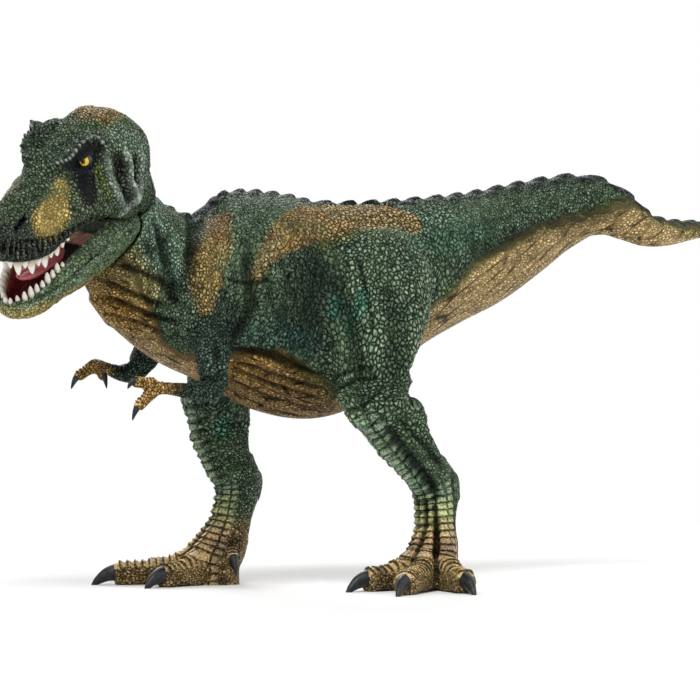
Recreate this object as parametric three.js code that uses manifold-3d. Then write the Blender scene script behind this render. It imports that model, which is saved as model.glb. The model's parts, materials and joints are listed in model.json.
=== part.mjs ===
// A walking tyrannosaur toy figure with a jaw that opens, as an assembly of separate mouldings.
// Millimetres, +Z up. The animal faces -X, its left side is towards -Y and its soles stand on z = 0.
// Soft mouldings (trunk, tail, arms, legs, head, jaw) plug into each other with pegs and sockets;
// teeth, claws, eyes and tongue are firmer pieces that sit in pockets of the soft ones.
import * as THREE from "three";
import Module from "manifold-3d";
import { mergeVertices } from "three/addons/utils/BufferGeometryUtils.js";

const wasm = await Module();
wasm.setup();

// Driving dimensions of the whole figure.
const reach = 100; // the length that places along the spine are shares of
const hipHeight = 93; // sole plane to the middle of the hips
const trunkWidth = 51; // widest part of the trunk, at the ribs
const trunkDepth = 61.5; // deepest part of the trunk, ridge to belly

// Fits between pieces.
const seam = 0.3; // gap between two mouldings that are glued or pressed together
const swingGap = 0.35; // gap kept around the jaw as it turns
const overrun = 4; // how far a cutting shape runs past what it cuts

// Faces of the skins: how many sides each kind of tube has, and rings per station.
const bodySides = 20;
const limbSides = 14;
const digitSides = 8;
const clawSides = 6;
const toothSides = 5;

// Colours as the photograph shows them.
const paint = {
  green: { color: 0x2c4a38, roughness: 0.6 },
  head: { color: 0x34473a, roughness: 0.6 },
  claw: { color: 0x26272b, roughness: 0.35 },
  ivory: { color: 0xe9e7df, roughness: 0.3 },
  flesh: { color: 0xb2484c, roughness: 0.35 },
  eye: { color: 0xe0b21e, roughness: 0.15 },
  steel: { color: 0x9a9da0, roughness: 0.3, metalness: 1 },
};

const vec = (x, y, z) => new THREE.Vector3(x, y, z);
const radians = THREE.MathUtils.degToRad;

// Solid from a closed three.js geometry.
function solid(geometry) {
  const bare = geometry.clone();
  bare.deleteAttribute("normal");
  bare.deleteAttribute("uv");
  const merged = mergeVertices(bare);
  return new wasm.Manifold(
    new wasm.Mesh({
      numProp: 3,
      vertProperties: merged.attributes.position.array,
      triVerts: new Uint32Array(merged.index.array),
    }),
  );
}

// three.js geometry from a solid.
function geometryOf(made) {
  const mesh = made.getMesh();
  return new THREE.BufferGeometry()
    .setAttribute("position", new THREE.BufferAttribute(mesh.vertProperties, 3))
    .setIndex(new THREE.BufferAttribute(mesh.triVerts, 1));
}

const join = (solids) => solids.reduce((whole, next) => whole.add(next));
const cut = (whole, cutters) => cutters.reduce((left, next) => left.subtract(next), whole);
const moved = (made, matrix) => made.transform(matrix.elements);

// Rounds a section's corner out (power under 1) or in (over 1) while it keeps its width.
const bent = (value, power) => Math.sign(value) * Math.abs(value) ** power;

// A skin carried along a path, as one closed solid. Each station holds `at`, a point of the path, and
// `size`, whose x is the half width, y the rise on the upper or front side and z the drop on the other.
// An end with no size closes to a point, any other end is a flat face. A power under 1 makes the upper
// or the lower half of the section boxy.
function skin(stations, { sides, rings, lateral, from = 0, to = 1, grow = 0, powers = [1, 1] }) {
  const path = new THREE.CatmullRomCurve3(stations.map((s) => s.at), false, "catmullrom");
  const girths = new THREE.CatmullRomCurve3(stations.map((s) => s.size), false, "catmullrom");
  const steps = rings * (stations.length - 1);
  const positions = [];
  const faces = [];
  const ends = [];
  for (let i = 0; i <= steps; i++) {
    const t = from + ((to - from) * i) / steps;
    const ahead = path.getTangent(t);
    const middle = path.getPoint(t);
    if (i === 0) middle.addScaledVector(ahead, -grow);
    if (i === steps) middle.addScaledVector(ahead, grow);
    const across = lateral.clone().addScaledVector(ahead, -lateral.dot(ahead)).normalize();
    const rise = across.clone().cross(ahead);
    const size = girths.getPoint(t);
    if (i === 0 || i === steps) ends.push(middle);
    for (let k = 0; k < sides; k++) {
      const angle = (2 * Math.PI * k) / sides;
      const upper = Math.sin(angle) > 0;
      const power = upper ? powers[0] : powers[1];
      const sideways = bent(Math.cos(angle), power) * (Math.max(size.x, 0) + grow);
      const high = upper ? size.y : size.z;
      const upwards = bent(Math.sin(angle), power) * (Math.max(high, 0) + grow);
      const point = middle.clone().addScaledVector(across, sideways).addScaledVector(rise, upwards);
      positions.push(point.x, point.y, point.z);
    }
  }
  for (let i = 0; i < steps; i++) {
    for (let k = 0; k < sides; k++) {
      const a = i * sides + k;
      const b = i * sides + ((k + 1) % sides);
      faces.push(a, a + sides, b, b, a + sides, b + sides);
    }
  }
  const first = positions.length / 3;
  for (const end of ends) positions.push(end.x, end.y, end.z);
  for (let k = 0; k < sides; k++) {
    const next = (k + 1) % sides;
    faces.push(first, k, next);
    faces.push(first + 1, steps * sides + next, steps * sides + k);
  }
  const geometry = new THREE.BufferGeometry()
    .setAttribute("position", new THREE.BufferAttribute(new Float32Array(positions), 3))
    .setIndex(faces);
  return solid(geometry);
}

// A round peg from one point to another, its ends flat.
function peg(start, end, radius, grow = 0) {
  const along = end.clone().sub(start);
  const shape = new THREE.CylinderGeometry(
    radius + grow, radius + grow, along.length() + 2 * grow, limbSides,
  );
  const turn = new THREE.Quaternion().setFromUnitVectors(vec(0, 1, 0), along.clone().normalize());
  shape.applyQuaternion(turn);
  shape.translate(...start.clone().add(end).multiplyScalar(0.5).toArray());
  return solid(shape);
}

// A limb's peg across the body at a place of the limb's path.
function sidePeg(at, side, { radius, outerShare, innerShare }, grow) {
  const end = (share) => at.clone().setY(side * share * trunkWidth);
  return peg(end(innerShare), end(outerShare), radius, grow);
}

// An egg shape with its own half sizes.
function egg(centre, halves, grow = 0) {
  const shape = new THREE.SphereGeometry(1, limbSides, digitSides);
  shape.scale(halves.x + grow, halves.y + grow, halves.z + grow);
  shape.translate(centre.x, centre.y, centre.z);
  return solid(shape);
}

// Spine of the figure, tail tip to neck end. Shares: place along (+ is rearward) and sideways of
// reach, height of hipHeight, half width of trunkWidth, rise and drop of trunkDepth.
const spineShares = [
  [1.4, 0.02, 1.19, 0, 0, 0],
  [1.31, 0.01, 1.178, 0.04, 0.032, 0.032],
  [1.2, -0.02, 1.168, 0.07, 0.048, 0.05],
  [1.1, -0.05, 1.16, 0.09, 0.062, 0.066],
  [1.02, -0.06, 1.168, 0.105, 0.076, 0.082],
  [0.96, -0.05, 1.2, 0.118, 0.1, 0.105],
  [0.9, -0.03, 1.232, 0.14, 0.13, 0.125],
  [0.82, -0.01, 1.24, 0.17, 0.163, 0.148],
  [0.71, 0, 1.205, 0.205, 0.203, 0.182],
  [0.59, 0, 1.155, 0.245, 0.245, 0.232],
  [0.45, 0, 1.1, 0.29, 0.285, 0.285],
  [0.3, 0, 1.055, 0.33, 0.325, 0.325],
  [0.15, 0, 1.015, 0.4, 0.37, 0.39],
  [0, 0, 0.98, 0.45, 0.415, 0.535],
  [-0.15, 0, 0.945, 0.49, 0.465, 0.6],
  [-0.3, 0, 0.935, 0.5, 0.48, 0.55],
  [-0.44, 0, 0.945, 0.47, 0.465, 0.435],
  [-0.55, 0, 0.97, 0.43, 0.425, 0.385],
  [-0.64, -0.01, 1.02, 0.37, 0.34, 0.355],
  [-0.71, -0.02, 1.085, 0.32, 0.27, 0.32],
  [-0.76, -0.03, 1.15, 0.29, 0.23, 0.3],
  [-0.79, -0.035, 1.21, 0.26, 0.2, 0.27],
];
const tailJointStation = 10; // the station where the tail moulding meets the trunk
const tailJointShare = tailJointStation / (spineShares.length - 1);
const tailPeg = { radius: 7, length: 16 }; // the tail's peg in the trunk's socket

const spine = spineShares.map(([along, aside, height, width, rise, drop]) => ({
  at: vec(along * reach, aside * reach, height * hipHeight),
  size: vec(width * trunkWidth, rise * trunkDepth, drop * trunkDepth),
}));
const spineOptions = { sides: bodySides, rings: 1, lateral: vec(0, 1, 0) };

// The trunk's outside, or the same swollen by a gap, to cut what seats on it.
const trunkSkin = (grow = 0) => skin(spine, { ...spineOptions, from: tailJointShare, grow });

// Legs. Each path runs from inside the trunk to the ball of the foot and through the floor, which cuts
// the foot's pad flat. Shares of hipHeight: ahead, out from the middle of the figure, and up. Sizes are
// shares of thighDepth: half width, front, back.
const thighDepth = 41; // front to back of the thigh where it leaves the trunk
const legSizeShares = [
  [0.2, 0.4, 0.3],
  [0.3, 0.5, 0.38],
  [0.34, 0.5, 0.36],
  [0.3, 0.36, 0.31],
  [0.25, 0.25, 0.25],
  [0.22, 0.21, 0.28],
  [0.18, 0.17, 0.24],
  [0.16, 0.16, 0.2],
  [0.15, 0.17, 0.14],
  [0.17, 0.22, 0.14],
  [0.2, 0.26, 0.14],
  [0.21, 0.25, 0.16],
];
const legs = {
  left: {
    side: -1,
    shares: [
      [-0.02, 0.13, 1.13],
      [-0.01, 0.2, 1.02],
      [0.01, 0.26, 0.86],
      [0.05, 0.29, 0.73],
      [0.06, 0.3, 0.62],
      [-0.02, 0.29, 0.51],
      [-0.105, 0.28, 0.41],
      [-0.16, 0.27, 0.325],
      [-0.175, 0.27, 0.215],
      [-0.175, 0.275, 0.12],
      [-0.16, 0.28, 0.06],
      [-0.155, 0.285, -0.03],
    ],
    footTurn: 45, // degrees that the middle toe points outwards
  },
  right: {
    side: 1,
    shares: [
      [0, 0.13, 1.13],
      [0.04, 0.2, 1.02],
      [0.16, 0.24, 0.86],
      [0.27, 0.26, 0.74],
      [0.35, 0.27, 0.63],
      [0.35, 0.265, 0.51],
      [0.325, 0.26, 0.42],
      [0.29, 0.26, 0.33],
      [0.3, 0.26, 0.22],
      [0.325, 0.265, 0.12],
      [0.345, 0.27, 0.06],
      [0.35, 0.275, -0.03],
    ],
    footTurn: 18,
  },
};

// Toes: three forward, told apart by their angle to the foot's middle line, and one small one behind.
const toe = { width: 9, soleShare: 0.38 }; // soleShare: how high a toe's middle stands, of its width
const toeSpread = 38; // degrees between neighbouring toes
const toes = {
  inner: { angle: 1, length: 20 },
  middle: { angle: 0, length: 27 },
  outer: { angle: -1, length: 20 },
};
// The small toe above the foot's inner side: its height is a share of hipHeight and its step back a share
// of thighDepth. Its turn is inwards from the middle toe, and it falls this much for each unit ahead.
const spur = { length: 9, width: 5, upShare: 0.17, backShare: 0.04, turn: 100, fall: 0.9 };
const claw = { length: 12, width: 6.4, droop: 4.2, seat: 3 }; // seat: how deep its root sits in the toe
const spurClaw = { length: 7, width: 4, droop: 2, seat: 2 };
// Rows of a digit: along its length, how much of the root's lift is left, thickness of its width.
const digitShares = [
  [0, 1, 0.9],
  [0.3, 0.35, 1],
  [0.62, 0, 0.9],
  [1, 0, 0.84],
];
// Rows of a claw outside its seat: along its length, fall of its droop, thickness of its width.
const clawShares = [
  [0.1, 0, 1],
  [0.5, 0.18, 0.78],
  [0.82, 0.6, 0.42],
  [1, 1, 0.06],
];
const clawRootShare = 0.9; // thickness of a claw's hidden root, of its width
const clawWidthShare = 0.84; // a claw is narrower than it is high
const legPeg = { radius: 6.5, outerShare: 0.5, innerShare: 0.2 }; // its ends, shares of trunkWidth
const legRings = 2;

// The directions of a limb's path at its end: where it heads on the ground, and to its own left.
const heading = (degreesOut, side) =>
  vec(-Math.cos(radians(degreesOut)), side * Math.sin(radians(degreesOut)), 0);
const leftOf = (direction) => vec(-direction.y, direction.x, 0);

// A digit: a short tube from its lifted root that thickens at the knuckle and ends square around its claw.
function digit(root, direction, { length, width: thick }, lift) {
  const stations = digitShares.map(([along, lifted, share]) => ({
    at: root.clone().addScaledVector(direction, along * length).add(vec(0, 0, lifted * lift)),
    size: vec(1, 1, 1).multiplyScalar((share * thick) / 2),
  }));
  return skin(stations, { sides: digitSides, rings: 2, lateral: leftOf(direction) });
}

// A curved claw whose root sits inside a digit's end and whose tip comes down.
function clawSkin(end, direction, { length, width: thick, droop, seat }, grow) {
  const size = (share) => vec(clawWidthShare, 1, 1).multiplyScalar((share * thick) / 2);
  const root = { at: end.clone().addScaledVector(direction, -seat), size: size(clawRootShare) };
  const stations = clawShares.map(([along, fall, share]) => ({
    at: end.clone().addScaledVector(direction, along * length).add(vec(0, 0, -fall * droop)),
    size: size(share),
  }));
  return skin([root, ...stations], { sides: clawSides, rings: 1, lateral: leftOf(direction), grow });
}

// A slab below the soles, which cuts every foot flat.
const floorSpanShare = 4; // of reach: wide enough for both feet
const floorSlab = (() => {
  const span = floorSpanShare * reach;
  const shape = new THREE.BoxGeometry(span, span, trunkDepth);
  shape.translate(0, 0, -trunkDepth / 2);
  return solid(shape);
})();

const colourOf = (name) => new THREE.MeshStandardMaterial(paint[name]);
const figure = new THREE.Group();

// Adds one named piece to the figure.
function piece(name, made, colour) {
  const mesh = new THREE.Mesh(geometryOf(made), colourOf(colour));
  mesh.name = name;
  figure.add(mesh);
  return mesh;
}

// One leg with its peg and its claws.
function makeLeg(name) {
  const { side, shares, footTurn } = legs[name];
  const path = shares.map(([ahead, out, up], i) => ({
    at: vec(-ahead * hipHeight, side * out * hipHeight, up * hipHeight),
    size: vec(...legSizeShares[i]).multiplyScalar(thighDepth),
  }));
  const ball = path.at(-2).at;
  const soleHeight = toe.soleShare * toe.width;
  const solids = [skin(path, { sides: limbSides, rings: legRings, lateral: vec(0, 1, 0) })];
  const claws = [];
  for (const [toeName, { angle, length }] of Object.entries(toes)) {
    const direction = heading(footTurn - angle * toeSpread, side);
    const root = vec(ball.x, ball.y, soleHeight);
    solids.push(digit(root, direction, { length, width: toe.width }, ball.z - soleHeight));
    const end = root.clone().addScaledVector(direction, length);
    claws.push([`${name}_${toeName}_toe_claw`, (grow) => clawSkin(end, direction, claw, grow)]);
  }
  const spurRoot = ball.clone().setZ(spur.upShare * hipHeight);
  spurRoot.x += spur.backShare * thighDepth;
  const spurHeading = heading(footTurn - spur.turn, side).add(vec(0, 0, -spur.fall)).normalize();
  solids.push(digit(spurRoot, spurHeading, spur, 0));
  const spurEnd = spurRoot.clone().addScaledVector(spurHeading, spur.length);
  claws.push([`${name}_spur_claw`, (grow) => clawSkin(spurEnd, spurHeading, spurClaw, grow)]);

  const hip = path[1].at;
  const hipPeg = (grow) => sidePeg(hip, side, legPeg, grow);
  const outside = cut(join(solids), [trunkSkin(seam), floorSlab, ...claws.map(([, make]) => make(seam))]);
  piece(`${name}_leg`, outside.add(hipPeg(0)), "green");
  for (const [clawName, make] of claws) piece(clawName, cut(make(0), [floorSlab]), "claw");
  return hipPeg(seam);
}

const sockets = [makeLeg("left"), makeLeg("right")];

// Arms. Each path runs from inside the trunk over the elbow to the palm. Shares: ahead and out of
// reach, up of hipHeight. Sizes are shares of armDepth: half width, front and back. A finger's turn is
// outwards in degrees, its root stands above the palm's middle by a share of its width, and it rises by
// its slope for each unit ahead.
const armDepth = 14; // front to back of the upper arm at the shoulder
const armSizeShares = [
  [0.4, 0.55, 0.55],
  [0.4, 0.48, 0.5],
  [0.3, 0.33, 0.36],
  [0.24, 0.25, 0.28],
  [0.19, 0.18, 0.2],
  [0.16, 0.13, 0.14],
  [0.18, 0.14, 0.14],
];
const arms = {
  left: {
    side: -1,
    shares: [
      [0.545, 0.15, 0.86],
      [0.57, 0.205, 0.79],
      [0.59, 0.245, 0.715],
      [0.6, 0.265, 0.66],
      [0.66, 0.28, 0.65],
      [0.75, 0.285, 0.66],
      [0.795, 0.285, 0.66],
    ],
    fingers: [
      { turn: 8, upShare: 0.25, slope: 0.15 },
      { turn: -2, upShare: -0.1, slope: -0.9 },
    ],
  },
  right: {
    side: 1,
    shares: [
      [0.5, 0.14, 0.86],
      [0.55, 0.19, 0.8],
      [0.59, 0.22, 0.745],
      [0.615, 0.23, 0.705],
      [0.66, 0.235, 0.7],
      [0.71, 0.23, 0.715],
      [0.745, 0.225, 0.725],
    ],
    fingers: [
      { turn: -85, upShare: -0.05, slope: -0.5 },
      { turn: 4, upShare: 0.05, slope: -0.6 },
    ],
  },
};
const finger = { length: 5.2, width: 4, archShare: 0.125 }; // the arch lifts its root, a share of its width
const fingerClaw = { length: 4.4, width: 3, droop: 2.4, seat: 1.4 };
const armPeg = { radius: 3.5, outerShare: 0.4, innerShare: 0.16 };

// One arm with its peg and its claws.
function makeArm(name) {
  const { side, shares, fingers } = arms[name];
  const path = shares.map(([ahead, out, up], i) => ({
    at: vec(-ahead * reach, side * out * reach, up * hipHeight),
    size: vec(...armSizeShares[i]).multiplyScalar(armDepth),
  }));
  const palm = path.at(-1).at;
  const solids = [skin(path, { sides: limbSides, rings: legRings, lateral: vec(0, 1, 0) })];
  const claws = [];
  fingers.forEach(({ turn, upShare, slope }, i) => {
    const direction = heading(turn, side).add(vec(0, 0, slope)).normalize();
    const root = palm.clone().add(vec(0, 0, upShare * finger.width));
    solids.push(digit(root, direction, finger, finger.archShare * finger.width));
    const end = root.clone().addScaledVector(direction, finger.length);
    claws.push([`${name}_finger_claw_${i + 1}`, (grow) => clawSkin(end, direction, fingerClaw, grow)]);
  });
  const shoulderPeg = (grow) => sidePeg(path[1].at, side, armPeg, grow);
  const outside = cut(join(solids), [trunkSkin(seam), ...claws.map(([, make]) => make(seam))]);
  piece(`${name}_arm`, outside.add(shoulderPeg(0)), "green");
  for (const [clawName, make] of claws) piece(clawName, make(0), "claw");
  return shoulderPeg(seam);
}

sockets.push(makeArm("left"), makeArm("right"));

// The head is shaped level, its snout towards +X, its left towards +Y and its jaw hinge at the origin,
// and then placed. Places ahead are shares of skullLength, half widths of skullWidth, and heights, rises
// and drops of skullHeight. Rows: [ahead, up, half width, rise, drop].
const skullLength = 53; // jaw hinge to the front of the upper lip
const skullWidth = 30; // across the cheeks
const skullHeight = 33; // jaw hinge to the crown
const muzzleShares = [
  [-0.33, 0.3, 0, 0, 0],
  [-0.27, 0.26, 0.36, 0.3, 0.3],
  [-0.15, 0.22, 0.44, 0.32, 0.25],
  [0, 0.22, 0.48, 0.36, 0.22],
  [0.17, 0.28, 0.5, 0.42, 0.14],
  [0.35, 0.27, 0.48, 0.4, 0.09],
  [0.51, 0.21, 0.43, 0.38, 0.1],
  [0.66, 0.13, 0.39, 0.36, 0.11],
  [0.79, 0.09, 0.34, 0.36, 0.1],
  [0.9, 0.12, 0.28, 0.33, 0.1],
  [0.98, 0.17, 0.19, 0.25, 0.1],
  [1.02, 0.22, 0, 0, 0],
];
const crestShares = [
  [-0.32, 0.6, 0, 0, 0],
  [-0.27, 0.58, 0.3, 0.27, 0.42],
  [-0.15, 0.55, 0.4, 0.39, 0.45],
  [0.04, 0.55, 0.43, 0.47, 0.42],
  [0.23, 0.55, 0.38, 0.39, 0.36],
  [0.4, 0.52, 0.32, 0.3, 0.27],
  [0.51, 0.4, 0.25, 0.24, 0.24],
  [0.68, 0.28, 0.19, 0.27, 0.18],
  [0.84, 0.2, 0.16, 0.29, 0.18],
  [0.94, 0.12, 0.12, 0.27, 0.1],
  [1.0, 0.1, 0, 0, 0],
];
// The ridge over each eye: [ahead, aside of skullWidth, up, thickness of skullHeight].
const browShares = [
  [0.02, 0.23, 0.8, 0],
  [0.14, 0.25, 0.84, 0.08],
  [0.27, 0.265, 0.845, 0.095],
  [0.39, 0.25, 0.81, 0.09],
  [0.46, 0.21, 0.72, 0.07],
  [0.52, 0.17, 0.56, 0],
];
// The jaw as it lies when it is shut.
const jawShares = [
  [-0.13, -0.06, 0, 0, 0],
  [-0.09, -0.06, 0.4, 0.12, 0.15],
  [0.02, -0.06, 0.49, 0.16, 0.24],
  [0.19, -0.04, 0.48, 0.24, 0.32],
  [0.38, -0.02, 0.44, 0.2, 0.36],
  [0.53, -0.03, 0.39, 0.14, 0.32],
  [0.68, -0.09, 0.32, 0.11, 0.24],
  [0.8, -0.11, 0.23, 0.08, 0.17],
  [0.865, -0.1, 0.14, 0.06, 0.1],
  [0.89, -0.09, 0, 0, 0],
];
const boxy = 0.55; // how square the sections are along the lips
const headPose = { turn: 28, pitch: 16.5, roll: -12.7 }; // degrees: to its left, nose down, left side down
const hingeShares = { ahead: 0.886, aside: -0.07, up: 1.205 }; // of reach, reach and hipHeight
const gape = 16; // degrees that the jaw is open at rest
const jawSwing = { shut: -9, wide: 4 }; // degrees from rest that the jaw turns
const sweepSteps = 4; // positions of the jaw that the room for its swing is made of

// The head's boss between the jaw's two ears. Its radius, a share of skullLength, takes in all of the jaw
// that lies behind the hinge between the ears.
const hingeCore = { radiusShare: 0.1625, halfWidth: 9 };
const pin = { radius: 1.1, halfLength: 12 };
const lipWall = 3.2; // from the outside of a lip to the mouth's hollow
const palateRise = 5; // mouth's roof above the lips
const troughDepth = 4.5; // mouth's floor below the jaw's lips
const hollowFrom = { muzzle: 4, jaw: 3 }; // the station where the mouth's hollow begins
const teethFrom = { muzzle: 6, jaw: 5 }; // the station where the last tooth stands
const eyeShares = { ahead: 0.375, aside: 0.33, up: 0.735 }; // of skullLength, skullWidth and skullHeight
const eyeRadius = 2;

// Teeth: a strip hidden in the lip that carries one side's teeth, a front bend and the other side's.
const strip = { radius: 0.9, inset: 2.7, sides: 6, rings: 2, depth: 1.6 };
// A tooth leans inwards by its lean for each unit of its length.
const upperTooth = { length: 6.6, width: 2.9, lean: 0.12 };
const lowerTooth = { length: 4.8, width: 2.6, lean: 0.1 };
// Lengths of the teeth on one side, front to back.
const upperToothShares = [0.62, 0.55, 0.68, 1, 0.62, 1, 0.68, 0.95, 0.6, 0.75, 0.55, 0.45];
const lowerToothShares = [0.65, 0.75, 0.9, 1, 0.85, 0.75, 1, 0.8, 0.9, 0.55];
// Rows of a tooth: along its length, how far it has leaned in, thickness of its width.
const toothShares = [
  [0, 0, 0.8],
  [0.35, 0, 0.86],
  [0.75, 0.5, 0.52],
  [1, 1, 0.12],
];
const tongueShares = [
  [0.22, 0, 0, 0, 0],
  [0.26, 0, 0.13, 0.04, 0.04],
  [0.45, 0.01, 0.15, 0.05, 0.05],
  [0.62, 0.03, 0.12, 0.045, 0.045],
  [0.7, 0.06, 0.08, 0.035, 0.035],
  [0.74, 0.08, 0, 0, 0],
];

const headPlace = new THREE.Matrix4().compose(
  vec(-hingeShares.ahead * reach, hingeShares.aside * reach, hingeShares.up * hipHeight),
  new THREE.Quaternion().setFromEuler(
    new THREE.Euler(radians(headPose.roll), radians(headPose.pitch), radians(180 + headPose.turn), "ZYX"),
  ),
  vec(1, 1, 1),
);
const jawTurn = (degrees) => new THREE.Matrix4().makeRotationY(radians(degrees));
const skullOptions = { sides: bodySides, rings: 1, lateral: vec(0, -1, 0) };
const skullStations = (rows) => rows.map(([ahead, up, width, rise, drop]) => ({
  at: vec(ahead * skullLength, 0, up * skullHeight),
  size: vec(width * skullWidth, rise * skullHeight, drop * skullHeight),
}));
const muzzle = skullStations(muzzleShares);
const jaw = skullStations(jawShares);
const jawSkin = (grow) => skin(jaw, { ...skullOptions, powers: [boxy, 1], grow });

function brow(side) {
  const stations = browShares.map(([ahead, aside, up, thick]) => ({
    at: vec(ahead * skullLength, side * aside * skullWidth, up * skullHeight),
    size: vec(1, 1, 1).multiplyScalar(thick * skullHeight),
  }));
  return skin(stations, { ...skullOptions, sides: digitSides });
}

// The room that the jaw needs between its two limits.
function jawSweep() {
  const places = [];
  for (let i = 0; i <= sweepSteps; i++) {
    const turn = gape + jawSwing.shut + ((jawSwing.wide - jawSwing.shut) * i) / sweepSteps;
    places.push(moved(jawSkin(swingGap), jawTurn(turn)));
  }
  return join(places);
}

// The head's boss at the hinge, a round bar across the head.
const bar = (radius, halfWidth, grow = 0) => peg(vec(0, -halfWidth, 0), vec(0, halfWidth, 0), radius, grow);

// A hollow along the middle of the mouth: above the lips of the muzzle, or below the lips of the jaw.
function mouthHollow(stations, above, below, upper) {
  const start = upper ? hollowFrom.muzzle : hollowFrom.jaw;
  const inside = stations.slice(start, -1).map(({ at, size }) => ({
    at: vec(at.x, 0, upper ? at.z - size.z : at.z + size.y),
    size: vec(Math.max(size.x - lipWall, strip.radius), above, below),
  }));
  return skin(inside, { ...skullOptions, powers: [boxy, boxy] });
}

// The line of a tooth strip in the lip: back to front on one side and to the back on the other. Where the
// snout is narrow, the line steps back from its front.
function lipLine(stations, upper) {
  const start = upper ? teethFrom.muzzle : teethFrom.jaw;
  const side = stations.slice(start, -1).map(({ at, size }) => {
    const edge = upper ? at.z - size.z + strip.depth : at.z + size.y - strip.depth;
    return vec(at.x - (size.x < 2 * lipWall ? strip.inset / 2 : 0), size.x - strip.inset, edge);
  });
  const front = side.at(-1).clone();
  front.y = 0;
  front.x += strip.inset / 2;
  const far = side.map((p) => vec(p.x, -p.y, p.z)).reverse();
  return new THREE.CatmullRomCurve3([...side, front, ...far], false, "catmullrom");
}

// One set of teeth on its strip. Towards is +1 for teeth that stand up and -1 for those that hang.
function toothSet(line, tooth, lengthShares, towards) {
  const up = vec(0, 0, 1);
  const points = line.points.map((at) => ({ at, size: vec(1, 1, 1).multiplyScalar(strip.radius) }));
  const made = [skin(points, { sides: strip.sides, rings: strip.rings, lateral: up })];
  const count = lengthShares.length;
  for (let i = 0; i < 2 * count; i++) {
    const place = (i + 0.5) / (2 * count);
    const at = line.getPointAt(place);
    const along = line.getTangentAt(place).setZ(0).normalize();
    const inwards = up.clone().cross(along);
    const share = lengthShares[i < count ? count - 1 - i : i - count];
    const long = tooth.length * share;
    const thick = (tooth.width * (1 + share)) / 2; // a short tooth is slimmer too
    const upwards = up.clone().multiplyScalar(towards);
    const leant = tooth.lean * long;
    const stations = toothShares.map(([far, leaned, wide]) => ({
      at: at.clone().addScaledVector(upwards, far * long).addScaledVector(inwards, leaned * leant),
      size: vec(1, 1, 1).multiplyScalar((wide * thick) / 2),
    }));
    made.push(skin(stations, { sides: toothSides, rings: 1, lateral: along }));
  }
  return join(made);
}

// The channel in a lip that holds the strip and lets its teeth out.
function toothChannel(line, tooth, towards) {
  const reachOut = strip.depth + overrun;
  const wide = tooth.width / 2;
  const points = line.points.map((at) => ({
    at: at.clone().setZ(at.z + (towards * (reachOut - strip.radius)) / 2),
    size: vec((reachOut + strip.radius) / 2, wide, wide),
  }));
  for (const [end, next] of [[0, 1], [points.length - 1, points.length - 2]]) {
    const outwards = points[end].at.clone().sub(points[next].at).normalize();
    points[end].at.addScaledVector(outwards, 2 * strip.radius);
  }
  const options = { sides: digitSides, rings: strip.rings, lateral: vec(0, 0, 1) };
  return skin(points, { ...options, grow: seam, powers: [boxy, boxy] });
}

const jawAtRest = (made) => moved(moved(made, jawTurn(gape)), headPlace);
const upperLine = lipLine(muzzle, true);
const lowerLine = lipLine(jaw, false);
const tongueSkin = (grow) => skin(skullStations(tongueShares), { ...skullOptions, sides: limbSides, grow });
const eyeBall = (side, grow) =>
  egg(
    vec(eyeShares.ahead * skullLength, side * eyeShares.aside * skullWidth, eyeShares.up * skullHeight),
    vec(1, 1, 1).multiplyScalar(eyeRadius),
    grow,
  );

const sweep = jawSweep();
const hingeBoss = (grow) => bar(hingeCore.radiusShare * skullLength, hingeCore.halfWidth, grow);
const core = hingeBoss(0);
const neckSocket = trunkSkin(seam).subtract(moved(core, headPlace));
const skull = join([
  skin(muzzle, { ...skullOptions, powers: [1, boxy] }),
  skin(skullStations(crestShares), skullOptions),
  brow(-1),
  brow(1),
]);
const headShape = cut(skull, [sweep]).add(core);
const headCut = cut(headShape, [
  mouthHollow(muzzle, palateRise, skullHeight, true),
  bar(pin.radius, skullWidth, seam),
  toothChannel(upperLine, upperTooth, -1),
  eyeBall(-1, seam),
  eyeBall(1, seam),
]);
piece("head", cut(moved(headCut, headPlace), [neckSocket]), "head");
piece("upper_teeth", moved(toothSet(upperLine, upperTooth, upperToothShares, -1), headPlace), "ivory");
piece("left_eye", moved(eyeBall(1, 0), headPlace), "eye");
piece("right_eye", moved(eyeBall(-1, 0), headPlace), "eye");
piece("jaw_pin", moved(bar(pin.radius, pin.halfLength), headPlace), "steel");

const jawCut = cut(jawSkin(0), [
  hingeBoss(swingGap),
  mouthHollow(jaw, skullHeight, troughDepth, false),
  bar(pin.radius, pin.halfLength, seam),
  toothChannel(lowerLine, lowerTooth, 1),
  tongueSkin(seam),
]);
piece("lower_jaw", jawAtRest(jawCut), "head");
piece("lower_teeth", jawAtRest(toothSet(lowerLine, lowerTooth, lowerToothShares, 1)), "ivory");
piece("tongue", jawAtRest(tongueSkin(0)), "flesh");
sockets.push(moved(sweep, headPlace), moved(hingeBoss(seam), headPlace));

const jointPath = new THREE.CatmullRomCurve3(spine.map((s) => s.at), false, "catmullrom");
const tailSeat = jointPath.getPoint(tailJointShare);
const tailForward = jointPath.getTangent(tailJointShare);
const tailPegEnd = tailSeat.clone().addScaledVector(tailForward, tailPeg.length);
const tailRoot = tailSeat.clone().addScaledVector(tailForward, -overrun);
sockets.push(peg(tailRoot, tailPegEnd, tailPeg.radius, seam));
const tailSkin = skin(spine, { ...spineOptions, to: tailJointShare });
const tailFace = peg(
  tailSeat.clone().addScaledVector(tailForward, -seam),
  tailSeat.clone().addScaledVector(tailForward, overrun),
  trunkDepth,
);
piece("tail", cut(tailSkin, [tailFace]).add(peg(tailRoot, tailPegEnd, tailPeg.radius)), "green");
piece("trunk", cut(trunkSkin(), sockets), "green");

// The figure stands with the middle of its box over the origin.
const box = new THREE.Box3().setFromObject(figure);
const middle = box.getCenter(vec(0, 0, 0));
figure.position.set(-middle.x, -middle.y, -box.min.z);

export default figure;
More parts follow.
